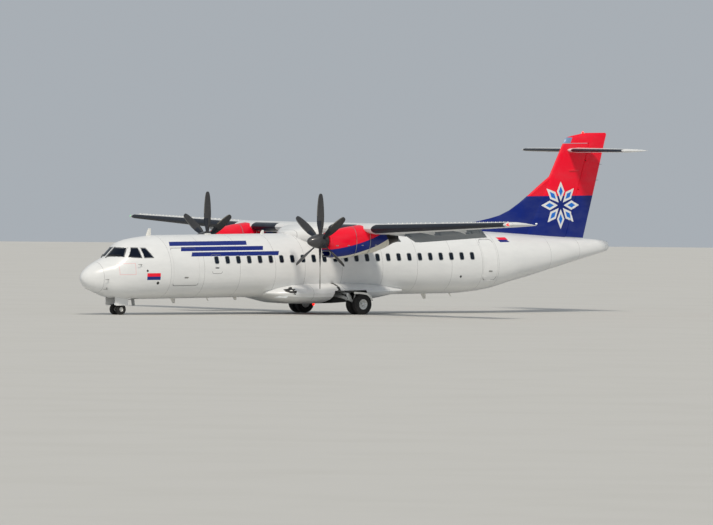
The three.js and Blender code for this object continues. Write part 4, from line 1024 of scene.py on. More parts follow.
@dataclass
class Studio:
    """The pale floor, the soft lights and the camera, from the front left and almost level."""

    target: Vector = Vector((0.0, 0.0, 3.0))
    azimuth: float = math.radians(36.003)
    elevation: float = math.radians(0.701)
    roll: float = math.radians(0.510)
    distance: float = 400.0
    focal_px: float = 9556.86
    picture_px: float = 713.0
    sensor_mm: float = 36.0
    shift: Pair = (0.01007, -0.0291)
    floor_radii: Pair = (20.0, 232.0)
    sky: tuple[str, float] = ("#DCE4EC", 0.55)
    sunlight: str = "#FFF6E8"
    # Columns: name, where it shines from, strength, how wide it looks in degrees.
    lamps: tuple[tuple[str, Triple, float, float], ...] = (
        ("key", (18, 34, 44), 2.2, 9),
        ("fill", (34, 16, 10), 0.35, 40),
    )

    def build(self) -> None:
        """Makes the floor, the lights and the camera."""
        self.camera()
        floor = add_object("pale_floor", Finish.PALE_CONCRETE.material, self.floor)
        self.lights()

    def camera(self) -> None:
        """Makes the camera and puts it in the scene."""
        data = bpy.data.cameras.new("photograph")
        data.sensor_width = self.sensor_mm
        data.lens = self.focal_px / self.picture_px * self.sensor_mm
        data.shift_x, data.shift_y = self.shift
        data.clip_start, data.clip_end = 10.0, 1500.0
        level = math.cos(self.elevation)
        toward = Vector((math.sin(self.azimuth) * level, math.cos(self.azimuth) * level, math.sin(self.elevation)))
        right = Z.cross(toward).normalized()
        up = toward.cross(right)
        rolled_right = right * math.cos(self.roll) + up * math.sin(self.roll)
        rolled_up = up * math.cos(self.roll) - right * math.sin(self.roll)
        turn = Matrix((rolled_right, rolled_up, toward)).transposed().to_4x4()
        camera = bpy.data.objects.new("photograph", data)
        camera.matrix_world = Matrix.Translation(self.target + toward * self.distance) @ turn
        bpy.context.scene.collection.objects.link(camera)
        bpy.context.scene.camera = camera

    def floor(self, shape: Shape) -> None:
        """Fills the mesh with the floor, wide enough to reach under the camera's whole view."""
        loft(shape, [circle(Vector(), X, Y, radius, 96) for radius in self.floor_radii], capped=False)
        shape.faces.new([v for v in shape.verts if v.co.length < self.floor_radii[0] + 1])

    def lights(self) -> None:
        """Makes a soft sky and a broad warm key light from high on the left."""
        scene = bpy.context.scene
        scene.world = bpy.data.worlds.new("studio")
        scene.world.use_nodes = True
        tree = scene.world.node_tree
        feed(tree, tree.nodes["Background"], {"Color": linear(self.sky[0]), "Strength": self.sky[1]})
        scene.view_settings.view_transform = "Standard"
        for name, place, strength, spread in self.lamps:
            lamp = bpy.data.lights.new(name, "SUN")
            lamp.energy, lamp.angle, lamp.color = strength, math.radians(spread), linear(self.sunlight)[:3]
            light = bpy.data.objects.new(name, lamp)
            light.rotation_euler = Vector(place).to_track_quat("Z", "Y").to_euler()
            scene.collection.objects.link(light)


@dataclass(frozen=True)
class SideDoor:
    """An opening with round corners in the side of the fuselage, by stations and heights."""

    body: str
    stations: Pair
    heights: Pair
    side: Side
    corner: float

    @property
    def middle(self) -> Pair:
        """The station and the height of the middle."""
        return sum(self.stations) / 2, sum(self.heights) / 2

    def outline(self, by: float) -> list[Pair]:
        """The outline about the middle, moved inward."""
        width, height = (high - low - 2 * by for low, high in (self.stations, self.heights))
        return rounded(width, height, self.corner - by)

    def inner_face(self, station: float, height: float) -> Vector:
        """The point of the door's inner face at a station and a height."""
        way = self.side.value * Y
        return Surface((self.body,)).seen(at(station, 0.2 * self.side.value, height), way)


CARGO_DOOR = SideDoor("cargo_door", (3.66, 4.935), (1.32, 2.885), Side.LEFT, 0.09)
PASSENGER_DOOR = SideDoor("passenger_door", (19.57, 20.3), (1.32, 3.05), Side.LEFT, 0.15)
SERVICE_DOOR = SideDoor("service_door", (19.64, 20.25), (1.34, 2.61), Side.RIGHT, 0.11)
EXITS = tuple(SideDoor("airframe", (5.58, 6.1), (1.79, 2.6), side, 0.09) for side in Side)


@dataclass
class Doors:
    """The edges, handles and inner faces of the doors, and the emergency exits."""

    skin: Surface
    seal_inset: float = 0.006
    seal_width: float = 0.016
    handle_size: Triple = (0.2, 0.06, 0.028)
    handle_drop: float = 0.22
    door_handle_up: float = -0.1
    exit_handle_up: float = 0.02
    step_heights: Floats = (1.62, 1.9, 2.18, 2.46, 2.74)
    step_half: float = 0.22
    step_reach: float = 0.13
    step_root: float = 0.15
    step_thickness: float = 0.03
    rail_half: float = 0.27
    rail_reach: float = 0.11
    rail_root: float = 0.2
    rail_heights: Floats = (1.66, 1.8, 2.55, 2.7)
    tube_radius: float = 0.014
    rib_reach: float = 0.035

    def build(self) -> None:
        """Adds the pieces of all doors."""
        for door in (CARGO_DOOR, PASSENGER_DOOR, SERVICE_DOOR, *EXITS):
            label = door.body if door.body != "airframe" else f"exit_{door.side.label}"
            seat = self.skin.seat(door.side, *door.middle)
            seal = (frame_ring, door.outline(self.seal_inset), self.seal_width, 0.003, seat)
            add_piece(f"{label}_seal", door.body, "grey_composite", Finish.SEAL_RUBBER, *seal)
            handle = (self.handle, door, seat)
            add_piece(f"{label}_handle", door.body, "grey_metal", Finish.BRUSHED_STEEL, *handle)
        body = PASSENGER_DOOR.body
        add_piece("airstair_steps", body, "grey_metal", Finish.FLOOR_COVERING, self.steps, PASSENGER_DOOR)
        add_piece("airstair_handrails", body, "grey_metal", Finish.CHROMED_STEEL, self.rails, PASSENGER_DOOR)
        for door, stations, heights in (
            (CARGO_DOOR, (3.95, 4.3, 4.65), (1.55, 2.65)),
            (SERVICE_DOOR, (19.88, 20.05), (1.55, 2.35)),
        ):
            ribs = (self.ribs, door, stations, heights)
            add_piece(f"{door.body}_ribs", door.body, "grey_metal", Finish.BAY_PRIMER, *ribs)

    def handle(self, shape: Shape, door: SideDoor, seat: Mapper) -> None:
        """Fills the mesh with a door's flush handle and its recess."""
        low, high = door.heights
        up = self.exit_handle_up if door.body == "airframe" else self.door_handle_up
        middle = up - (high - low) * self.handle_drop
        points = [(u, v + middle) for u, v in rounded(*self.handle_size)]
        patch(shape, points, 0.003, seat)
        patch(shape, [(u * 0.8, v) for u, v in drawn_in(points, 0.016)], 0.012, seat)

    def steps(self, shape: Shape, door: SideDoor) -> None:
        """Fills the mesh with the airstair's steps, each a shallow box with a raised nosing."""
        inward = -self.step_reach * Y
        for height in self.step_heights:
            feet = [door.inner_face(door.middle[0] + s, height) for s in (-self.step_half, self.step_half)]
            nosing = [foot + inward for foot in feet]
            slab(shape, [foot - inward * self.step_root for foot in feet] + nosing[::-1], self.step_thickness * Z)
            rod(shape, nosing, self.tube_radius, 10)

    def rails(self, shape: Shape, door: SideDoor) -> None:
        """Fills the mesh with the airstair's two bent handrails."""
        for station in (door.middle[0] - self.rail_half, door.middle[0] + self.rail_half):
            feet = [door.inner_face(station, z) for z in self.rail_heights]
            inward = -self.rail_reach * Y
            line = [foot + inward * reach for foot, reach in zip(feet, (-self.rail_root, 1, 1, -self.rail_root))]
            rod(shape, line, self.tube_radius, 10)

    def ribs(self, shape: Shape, door: SideDoor, stations: Sequence[float], heights: Pair) -> None:
        """Fills the mesh with stiffening ribs, which follow the curve of a door's inner face.

        Args:
            shape: the mesh that takes the faces.
            door: the door.
            stations: where the ribs are.
            heights: where they start and end.
        """
        inward, (low, high) = -door.side.value * Y, heights
        corners = ((-0.03, -0.02), (0.03, -0.02), (0.02, self.rib_reach), (-0.02, self.rib_reach))
        for station in stations:
            faces = [door.inner_face(station, low + (high - low) * i / 8) for i in range(9)]
            loft(shape, [[face + Vector((x, 0, 0)) + inward * reach for x, reach in corners] for face in faces])


@dataclass
class Fittings:
    """The cockpit frames, wipers, probes, antennas, lamps and small fairings of the fuselage."""

    skin: Surface
    post_width: float = 0.045
    # Wipers. Columns: distance from the middle, height, lift off the glass.
    wiper_arm: Rows = ((0.16, 2.5, 0.03), (0.36, 2.6, 0.035))
    wiper_blade: Rows = ((0.13, 2.585, 0.022), (0.4, 2.6, 0.022), (0.66, 2.6, 0.022))
    screens: Points = ((0.03, 2.545), (0.805, 2.52), (0.64, 2.915), (0.03, 2.94))
    side_panes: tuple[Points, ...] = (
        ((1.72, 2.51), (2.305, 2.47), (2.28, 2.915), (2.0, 2.93)),
        ((2.38, 2.475), (2.815, 2.48), (2.59, 2.905), (2.355, 2.915)),
    )
    # Blade antennas above and below. Columns: station, chord, height.
    top_antennas: Rows = ((3.22, 0.26, 0.29), (9.0, 0.2, 0.14), (16.2, 0.22, 0.24))
    keel_antennas: Rows = ((4.45, 0.24, 0.2), (7.6, 0.2, 0.12), (17.3, 0.26, 0.22))
    # A blade antenna's levels. Columns: share of the height, sweep, share of the chord.
    antenna_levels: Rows = ((0, 0, 1), (0.35, 0.16, 0.86), (0.75, 0.36, 0.66), (1, 0.52, 0.5))
    flat_antennas: Floats = (6.35, 15.2)
    probes: Points = ((0.86, 1.62), (0.86, 1.27), (2.2, 2.2))
    probe_reach: float = 0.09
    # Port plates. Columns: station, height, radius.
    plates: Rows = ((2.46, 1.96, 0.045), (2.95, 1.45, 0.06), (18.4, 1.5, 0.05))
    beacon_station: float = 11.75
    scoop: Points = (
        (9.17, 1.1), (9.37, 1.12), (9.46, 1.17), (9.58, 1.19), (9.64, 1.03), (9.58, 0.87), (9.37, 0.95), (9.17, 1.02),
    )
    vent: Points = ((11.62, 1.02), (11.78, 1.02), (11.84, 1.32), (11.7, 1.32))
    lamp: Pair = (9.14, 0.785)
    lamp_size: Triple = (0.34, 0.09, 0.04)
    masts: Points = ((6.1, 0.25), (18.6, 0.25))
    belly: Surface = field(init=False)

    def __post_init__(self) -> None:
        """Reads the belly that the pieces sit on."""
        self.belly = Surface(("belly_fairing", "forward_fuselage", "centre_fuselage"))

    def build(self) -> None:
        """Adds the pieces."""
        lamp_seats = [self.belly.seat(side, *self.lamp) for side in Side]
        lens = (at_each, lamp_seats, patch, rounded(*self.lamp_size), 0.006)
        keel = self.belly.above(self.beacon_station, 0.0, from_below=True)
        for name, slot, finish, *fill in (
            ("cockpit_window_frames", "grey_metal", Finish.SEAL_RUBBER, self.frames),
            ("windscreen_wipers", "grey_metal", Finish.BLACK_EPOXY, self.wipers),
            ("air_probes", "engine_steel", Finish.BRUSHED_STEEL, self.air_probes),
            ("antennas", "white_composite", Finish.ANTENNA_ENAMEL, self.antennas),
            ("port_plates", "grey_metal", Finish.BLACK_EPOXY, self.port_plates),
            ("belly_scoops", "grey_composite", Finish.BLACK_EPOXY, self.scoops),
            ("landing_lamps", "cockpit_glass", Finish.LAMP_GLASS, *lens),
            ("belly_beacon", "red_composite", Finish.RED_LAMP, dome, keel, -Z, 0.055, 0.1),
            ("drain_masts", "grey_metal", Finish.ANTENNA_ENAMEL, self.drain_masts),
        ):
            add_piece(name, "airframe", slot, finish, *fill)

    def frames(self, shape: Shape) -> None:
        """Fills the mesh with the seals round the six cockpit panes, each edge divided to follow the skin."""
        for side in Side:
            screen = divided([(y * side.value, z) for y, z in self.screens], 5)
            frame_ring(shape, screen, self.post_width, 0.004, self.skin.ahead)
            for outline in self.side_panes:
                frame_ring(shape, divided(outline, 4), self.post_width * 0.8, 0.004, self.skin.seat(side))

    def wipers(self, shape: Shape) -> None:
        """Fills the mesh with two wipers, parked low on the windscreens."""
        for sign in (1, -1):
            rows = (self.wiper_arm, self.wiper_blade)
            arm, blade = ([self.skin.ahead(y * sign, z, lift) for y, z, lift in row] for row in rows)
            rod(shape, [arm[0] - 0.05 * Z, arm[0]], [0.022, 0.018], 12)
            rod(shape, arm, [0.011, 0.008], 10)
            rod(shape, blade, [0.009, 0.012, 0.009], 10)

    def air_probes(self, shape: Shape) -> None:
        """Fills the mesh with pitot probes and vanes, each on a short swept mast."""
        for side in Side:
            for station, z in self.probes:
                out = self.skin.beside(station - 0.02, z, side, self.probe_reach)
                rod(shape, [self.skin.beside(station, z, side, -0.01), out], [0.02, 0.012])
                rod(shape, [out - 0.05 * X, out, out + 0.16 * X], [0.01, 0.012, 0.008])

    def antennas(self, shape: Shape) -> None:
        """Fills the mesh with swept blade antennas above and below, and two flat ones."""
        section = ((0, 0), (0.2, 0.5), (0.55, 0.5), (1, 0), (0.55, -0.5), (0.2, -0.5))
        for rows, sign in ((self.top_antennas, 1), (self.keel_antennas, -1)):
            for station, chord, height in rows:
                foot = self.skin.above(station + chord / 2, 0.0, from_below=sign < 0)
                rings = []
                for share, sweep, size in self.antenna_levels:
                    base = foot + Vector((0, 0, sign * (height * share - 0.02 * (share == 0))))
                    start = -chord / 2 + chord * sweep
                    ring = ((-start - u * chord * size, v * 0.035 * size, 0) for u, v in section)
                    rings.append([base + Vector(corner) for corner in ring])
                loft(shape, rings)
        for station in self.flat_antennas:
            profile = [(-0.01, 0.15), (0.012, 0.15), (0.035, 0.11), (0.042, 0.02)]
            turned(shape, self.skin.above(station, 0.0), Z, profile, 32)

    def port_plates(self, shape: Shape) -> None:
        """Fills the mesh with the round plates of the static ports."""
        for side in Side:
            for station, z, radius in self.plates:
                outline = [(radius * math.cos(a), radius * math.sin(a)) for a in turns(20)]
                patch(shape, outline, 0.003, self.skin.seat(side, station, z))

    def scoops(self, shape: Shape) -> None:
        """Fills the mesh with the dark ram air scoops and vents of the belly fairing."""
        for side in Side:
            for outline in (self.scoop, self.vent):
                patch(shape, divided(outline, 2), 0.006, self.belly.seat(side))

    def drain_masts(self, shape: Shape) -> None:
        """Fills the mesh with two drain masts under the fuselage."""
        for station, y in self.masts:
            foot = self.skin.above(station, y, from_below=True)
            rod(shape, [foot + 0.02 * Z, foot + Vector((-0.09, 0, -0.14))], [0.03, 0.016])


@dataclass
class Fuselage:
    """The fuselage shell: its enamel, cabin windows, door outlines and small fittings."""

    first_window: float = 5.84
    window_pitch: float = 0.548
    window_count: int = 25
    window_size: Triple = (0.25, 0.35, 0.085)
    window_z: float = 2.36
    shell: tuple[str, ...] = (
        "radome", "nose_section", "forward_fuselage", "centre_fuselage", "aft_fuselage", "tail_cone",
        "cargo_door", "passenger_door", "service_door",
    )
    skin: Surface = field(init=False)

    def __post_init__(self) -> None:
        """Reads the skin that the pieces sit on."""
        self.skin = Surface((*self.shell, *both("windscreen", "side_window", "quarter_window"), "wing_fairing"))

    def build(self) -> None:
        """Dresses the shell and adds its windows, doors and fittings."""
        dress(Finish.FUSELAGE_ENAMEL, *self.shell)
        dress(Finish.FAIRING_ENAMEL, "belly_fairing", "wing_fairing")
        dress(Finish.HEATED_GLASS, *both("windscreen", "side_window", "quarter_window"))
        stations = [self.first_window + self.window_pitch * i for i in range(self.window_count)]
        seats = [self.skin.seat(side, station, self.window_z) for side in Side for station in stations]
        outline = rounded(*self.window_size)
        surround = (at_each, seats, frame_ring, outline, 0.03, 0.006)
        add_piece("cabin_window_surrounds", "airframe", "grey_composite", Finish.WINDOW_MOULDING, *surround)
        pane = (at_each, seats, patch, drawn_in(outline, 0.018), 0.003)
        add_piece("cabin_window_panes", "airframe", "cockpit_glass", Finish.CABIN_ACRYLIC, *pane)
        Doors(self.skin).build()
        Fittings(self.skin).build()


def wick(shape: Shape, root: Vector, reaches: Sequence[float], radii: Sequence[float]) -> None:
    """Adds a static wick to an aft edge: a thin rod with a thicker foot.

    Args:
        shape: the mesh that takes the faces.
        root: the point of the edge.
        reaches: distances forward of the edge, from the foot to the tip.
        radii: the radius at each.
    """
    rod(shape, [root + reach * X for reach in reaches], radii, 8)


@dataclass
class Wing:
    """The wing, its boots, its moving surfaces and the small fittings on them."""

    kink_y: float = 4.9
    outer_span: float = 8.625
    root_edge: float = 11.13
    sweep: float = 0.57
    root_chord: float = 2.57
    taper: float = 0.95
    tip: Pair = (11.86, 13.43)
    # The lamps' glasses. Columns: front and rear end ahead of the tip, radius.
    tip_lamp: Triple = (0.13, -0.14, 0.05)
    strobe: Triple = (-1.34, -1.46, 0.03)
    strobe_up: float = 0.035
    # Rows of vortex generators. Columns: first y, last y, count.
    generator_rows: tuple[tuple[float, float, int], ...] = ((5.2, 8.4, 22), (8.8, 13.1, 34))
    generator_share: float = 0.2
    vane_length: float = 0.07
    vane_lean: float = 0.012
    vane_half: float = 0.003
    boot_span: Pair = (5.25, 7.9)
    boot_steps: int = 18
    boot_shares: Floats = (0.02, 0.045, 0.07)
    cover_places: Floats = (5.8, 7.2, 8.6, 10.0, 11.4, 12.4)
    cover_share: float = 0.36
    cover_radii: Pair = (0.13, 0.2)
    filler: Pair = (12.05, 9.3)
    filler_cap: Points = ((-0.01, 0.055), (0.005, 0.055), (0.009, 0.045), (0.009, 0.01))
    wick_shares: Floats = (0.2, 0.5, 0.8)
    tab_shares: Pair = (0.12, 0.55)
    tab_chord: float = 0.12

    def build(self) -> None:
        """Dresses the wing and adds its fittings."""
        dress(Finish.WING_ENAMEL, "wing_centre", *both("outer_wing", "aileron"))
        dress(Finish.DEICER_RUBBER, *both("leading_edge"))
        dress(Finish.FLAP_ENAMEL, *both("flap_inner", "flap_outer"))
        for side in Side:
            label = side.label
            for name, slot, finish, fill in (
                ("vortex_generators", "white_metal", Finish.ANTENNA_ENAMEL, self.generators),
                ("boot_ribs", "boot_rubber", Finish.DEICER_RUBBER, self.boot_ribs),
                ("tank_covers", "grey_metal", Finish.BRUSHED_STEEL, self.tank_covers),
            ):
                add_piece(f"{name}_{label}", "airframe", slot, finish, fill, side, self.skin(side))
            for node in (f"aileron_{label}", f"elevator_{label}"):
                add_piece(f"{node}_wicks", node, "grey_composite", Finish.BLACK_EPOXY, self.wicks, node)
                add_piece(f"{node}_tab", node, "grey_metal", Finish.SEAL_RUBBER, self.tab, node, side)
        for side, lit, lit_slot in (
            (Side.LEFT, Finish.RED_LAMP, "red_composite"),
            (Side.RIGHT, Finish.GREEN_LAMP, "cockpit_glass"),
        ):
            station, y = self.tip
            top, low = (self.skin(side).above(station, y * side.value, 0.0, below) for below in (False, True))
            middle = (top + low) / 2
            for name, slot, finish, (front, rear, radius), up in (
                ("position_lamp", lit_slot, lit, self.tip_lamp, 0),
                ("strobe_lamp", "cockpit_glass", Finish.LAMP_GLASS, self.strobe, self.strobe_up),
            ):
                ends = (middle + end * X + up * Z for end in (front, rear))
                add_piece(f"{name}_{side.label}", "airframe", slot, finish, pod, *ends, radius)

    def skin(self, side: Side) -> Surface:
        """The fixed skin of one wing."""
        return Surface((f"outer_wing_{side.label}", f"leading_edge_{side.label}", "wing_centre"))

    def behind(self, y: float, share: float) -> float:
        """The station at a share of the chord behind the leading edge, at a distance out."""
        out = max((abs(y) - self.kink_y) / self.outer_span, 0.0)
        return self.root_edge + self.sweep * out + (self.root_chord - self.taper * out) * share

    def generators(self, shape: Shape, side: Side, skin: Surface) -> None:
        """Fills the mesh with the vortex generators, small slanted vanes behind the boots."""
        for start, end, count in self.generator_rows:
            for i in range(count):
                y = (start + (end - start) * i / (count - 1)) * side.value
                station = self.behind(y, self.generator_share)
                lean = self.vane_lean if i % 2 else -self.vane_lean
                foot = skin.above(station, y - lean, -0.004)
                heel = skin.above(station + self.vane_length, y + lean, -0.004)
                vane = (foot, heel, heel + Vector((0.01, 0, 0.034)), foot + Vector((-0.03, 0, 0.03)))
                loft(shape, [[point + across * Y for point in vane] for across in (-self.vane_half, self.vane_half)])

    def boot_ribs(self, shape: Shape, side: Side, skin: Surface) -> None:
        """Fills the mesh with the spanwise tube ridges of the boot, above and below."""
        start, span = self.boot_span
        places = [(start + span * i / self.boot_steps) * side.value for i in range(self.boot_steps + 1)]
        for share in self.boot_shares:
            for from_below in (False, True):
                rod(shape, [skin.above(self.behind(y, share), y, -0.003, from_below) for y in places], 0.008, 6)

    def tank_covers(self, shape: Shape, side: Side, skin: Surface) -> None:
        """Fills the mesh with the oval access covers below the tanks and the filler cap above."""
        along, across = self.cover_radii
        oval = [(along * math.cos(a), across * math.sin(a)) for a in turns(20)]
        for y in self.cover_places:
            middle = self.behind(y, self.cover_share)
            patch(shape, oval, 0.002, lambda u, v, lift: skin.above(middle + u, (y + v) * side.value, lift, True))
        station, y = self.filler
        turned(shape, skin.above(station, y * side.value), Z, self.filler_cap, 20)

    def wicks(self, shape: Shape, node: str) -> None:
        """Fills the mesh with the static wicks on a moving surface's aft edge."""
        for share in self.wick_shares:
            wick(shape, aft_edge(node, share), (0.02, -0.03, -0.14), (0.009, 0.007, 0.003))

    def tab(self, shape: Shape, node: str, side: Side) -> None:
        """Fills the mesh with the seam above the trim tab in a moving surface's aft edge."""
        surface = Surface((node,))
        inner, outer = (aft_edge(node, s if side is Side.LEFT else 1 - s) for s in self.tab_shares)
        corners = [inner, inner + self.tab_chord * X, outer + self.tab_chord * X, outer]
        points = [a.lerp(b, k / 6) for a, b in zip(corners, corners[1:]) for k in range(7)]
        seen = [surface.met(Vector((point.x + 0.02, point.y, point.z + 1)), -Z) for point in points]
        rod(shape, [point for point in seen if point is not None], 0.004, 6)


@dataclass
class Tail:
    """The fin, the rudder, the tailplane and the elevators, with their small fairings and lamps."""

    pod_stations: Pair = (25.05, 25.6)
    pod_z: float = 5.9
    pod_radius: float = 0.045
    beacon_station: float = 25.9
    end: Triple = (27.155, 0.0, 2.668)
    wick_shares: Floats = (0.55, 0.7, 0.85)
    root_edge: float = 25.0
    sweep: float = 0.087
    rib_shares: Floats = (0.05, 0.1)
    rib_places: Floats = (0.5, 1.1, 1.7, 2.3, 2.9)

    def build(self) -> None:
        """Dresses the tail and adds its fittings."""
        dress(Finish.TAIL_ENAMEL, "dorsal_fin", "fin", "rudder")
        dress(Finish.TAILPLANE_ENAMEL, "tailplane", *both("elevator"))
        crown = Surface(("rudder",)).seen(at(self.beacon_station, 0, 9), -UP)
        for name, body, slot, finish, *fill in (
            ("rudder_wicks", "rudder", "grey_composite", Finish.BLACK_EPOXY, self.wicks),
            ("fin_fairings", "airframe", "red_composite", Finish.RED_LACQUER, self.fairings),
            ("fin_beacon", "rudder", "red_composite", Finish.RED_LAMP, dome, crown, Z, 0.05, 0.08),
            ("tail_lamp", "airframe", "cockpit_glass", Finish.LAMP_GLASS, dome, at(*self.end), AFT, 0.05, 0.03),
            ("tailplane_boot_ribs", "airframe", "boot_rubber", Finish.DEICER_RUBBER, self.ribs),
        ):
            add_piece(name, body, slot, finish, *fill)

    def wicks(self, shape: Shape) -> None:
        """Fills the mesh with the wicks of the rudder's aft edge."""
        for share in self.wick_shares:
            wick(shape, aft_edge("rudder", share, upward=True), (0.03, -0.03, -0.14), (0.01, 0.008, 0.003))

    def fairings(self, shape: Shape) -> None:
        """Fills the mesh with the fairings of the hinges and rods in the sides of the fin."""
        skin = Surface(("fin", "dorsal_fin"))
        for side in Side:
            pod(shape, *(skin.beside(s, self.pod_z, side, 0.008) for s in self.pod_stations), self.pod_radius)

    def ribs(self, shape: Shape) -> None:
        """Fills the mesh with the ridges of the tailplane's boots."""
        skin = Surface(("tailplane",))
        for side in Side:
            for share in self.rib_shares:
                places = [(self.root_edge + self.sweep * y + share, y * side.value) for y in self.rib_places]
                rod(shape, [skin.above(station, y, -0.003) for station, y in places], 0.007, 6)


@dataclass
class PowerPlants:
    """The nacelles, the engines, the spinners and the propellers."""

    shaft_y: float = 4.05
    shaft_z: float = 3.134
    spinner: Points = (
        (8.53, 0.0), (8.536, 0.035), (8.552, 0.074), (8.585, 0.114), (8.63, 0.15), (8.69, 0.185), (8.76, 0.217),
        (8.83, 0.243), (8.9, 0.264), (8.96, 0.278), (8.9897, 0.284), (8.9897, 0.0),
    )
    hub: Points = (
        (8.99, 0.0), (8.99, 0.285), (9.02, 0.291), (9.1, 0.298), (9.2, 0.3), (9.41, 0.3), (9.43, 0.293), (9.43, 0.0),
    )
    blade_station: float = 9.18
    blades: int = 6
    # Sections of a blade. Columns: radius, chord, thickness, angle to the disc in degrees.
    blade_rows: Rows = (
        (0.23, 0.13, 0.11, 62), (0.34, 0.145, 0.1, 60), (0.45, 0.175, 0.075, 57), (0.55, 0.225, 0.055, 53.5),
        (0.65, 0.265, 0.042, 50), (0.85, 0.3, 0.034, 44.5), (1.05, 0.312, 0.029, 39), (1.2, 0.31, 0.025, 35),
        (1.4, 0.295, 0.021, 31.5), (1.6, 0.268, 0.017, 28.5), (1.75, 0.238, 0.0135, 26.6), (1.86, 0.2, 0.011, 25),
        (1.92, 0.16, 0.009, 24), (1.955, 0.11, 0.0075, 23.3), (1.965, 0.06, 0.006, 23),
    )
    # Outlines of a section, its nickel strip and its rubber cuff, by shares of the chord and the thickness.
    section: Points = (
        (0.5, 0.0), (0.47, 0.18), (0.4, 0.33), (0.28, 0.46), (0.12, 0.5), (-0.08, 0.45), (-0.28, 0.31), (-0.42, 0.14),
        (-0.5, 0.0), (-0.42, -0.1), (-0.28, -0.24), (-0.08, -0.36), (0.12, -0.43), (0.28, -0.42), (0.4, -0.31),
        (0.47, -0.17),
    )
    strip: Points = (
        (0.512, 0.0), (0.47, 0.24), (0.38, 0.36), (0.37, 0.25), (0.37, -0.2), (0.38, -0.35), (0.47, -0.23),
    )
    cuff: Points = (
        (0.52, 0.0), (0.45, 0.34), (0.28, 0.53), (-0.1, 0.53), (-0.15, 0.3), (-0.15, -0.3), (-0.1, -0.45),
        (0.28, -0.5), (0.45, -0.32),
    )
    strip_reach: Pair = (1.0, 1.93)
    strip_proud: float = 0.0025
    cuff_reach: Pair = (0.3, 0.9)
    cuff_proud: float = 0.003
    seams: Floats = (10.7, 11.4)
    seam_half: float = 0.012
    strap_steps: int = 144
    cowl_depths: Pair = (0.2, 0.8)
    cowl_z: float = 3.1
    intake_station: float = 9.475
    intake: Triple = (0.3, 2.51, 2.735)
    lip_radius: float = 0.017
    exhaust_z: float = 3.185
    nozzle: Points = (
        (12.7, 0.133), (12.98, 0.133), (13.07, 0.13), (13.075, 0.124), (13.07, 0.118), (12.7, 0.116), (12.7, 0.133),
    )
    turbine_cone: Points = ((12.64, 0.0), (12.64, 0.1), (12.8, 0.03), (12.82, 0.0))
    latch_stations: Floats = (9.75, 10.3, 11.0, 11.7)
    latch_z: float = 2.95
    latch_size: Triple = (0.11, 0.035, 0.012)

    def build(self) -> None:
        """Dresses the power plants and adds their pieces."""
        dress(Finish.COWL_ENAMEL, *both("nacelle"))
        dress(Finish.BRUSHED_STEEL, *both("engine"))
        for side in Side:
            label, body = side.label, f"propeller_{side.label}"
            y = self.shaft_y * side.value
            cowl = Surface((f"nacelle_{label}",))
            blades, shell = (self.propeller, y), (turned, at(0, y, self.shaft_z), AFT, self.spinner, 64)
            for name, slot, finish, fill, node, sharp in (
                ("blades", "blade_composite", Finish.BLADE_COATING, blades, "propeller", 50),
                ("spinner_shell", "spinner_composite", Finish.SPINNER_ENAMEL, shell, "spinner", 35),
            ):
                add_piece(f"{name}_{label}", body, slot, finish, *fill, replaced=(f"{node}_{label}",), sharp=sharp)
            strips = (self.on_blades, y, self.strip, self.strip_reach, self.strip_proud)
            cuffs = (self.on_blades, y, self.cuff, self.cuff_reach, self.cuff_proud)
            for name, carrier, slot, finish, *fill in (
                ("blade_edges", body, "engine_steel", Finish.NICKEL_EDGE, *strips),
                ("blade_cuffs", body, "boot_rubber", Finish.DEICER_RUBBER, *cuffs),
                ("cowl_straps", "airframe", "engine_steel", Finish.BRUSHED_STEEL, self.straps, y, cowl),
                ("intake_lip", "airframe", "engine_steel", Finish.BRUSHED_STEEL, self.lip, y),
                ("exhaust_nozzle", "airframe", "engine_steel", Finish.EXHAUST_STEEL, self.exhaust, y),
                ("cowl_latches", "airframe", "grey_metal", Finish.BRUSHED_STEEL, self.latches, y, cowl),
            ):
                add_piece(f"{name}_{label}", carrier, slot, finish, *fill)

    def on_blades(self, shape: Shape, y: float, outline: Points, reach: Pair, proud: float) -> None:
        """Fills the mesh with the same form along each blade.

        Args:
            shape: the mesh that takes the faces.
            y: the shaft's distance to the left.
            outline: the form's section, by shares of the chord and the thickness.
            reach: the radii between which it lies.
            proud: how much thicker than the blade it is.
        """
        for turn in turns(self.blades):
            outward = Vector((0, math.sin(turn), math.cos(turn)))
            sideways = Vector((0, math.cos(turn), -math.sin(turn)))
            rings = []
            for radius, chord, thick, angle in self.blade_rows:
                if not reach[0] < radius < reach[1]:
                    continue
                forward, across = math.sin(math.radians(angle)), math.cos(math.radians(angle))
                ring = []
                for u, v in ((along * chord, off * (thick + proud)) for along, off in outline):
                    middle = at(self.blade_station - u * forward - v * across, y, self.shaft_z)
                    ring.append(middle + outward * radius + sideways * (v * forward - u * across))
                rings.append(ring)
            loft(shape, rings)

    def propeller(self, shape: Shape, y: float) -> None:
        """Fills the mesh with the blades and the hub."""
        self.on_blades(shape, y, self.section, (0, 2), 0)
        turned(shape, at(0, y, self.shaft_z), AFT, self.hub, 64)

    def strap_point(self, cowl: Surface, centre: Vector, turn: float, lift: float) -> Vector | None:
        """A point of a cowl round its middle line, or None where the wing goes through the cowl."""
        way = Vector((0, math.sin(turn), math.cos(turn)))
        found = cowl.met(centre + way * 3, -way)
        near, far = self.cowl_depths
        if found is None or (found - centre).length > far or (found - centre).dot(way) < near:
            return None
        return found + way * lift

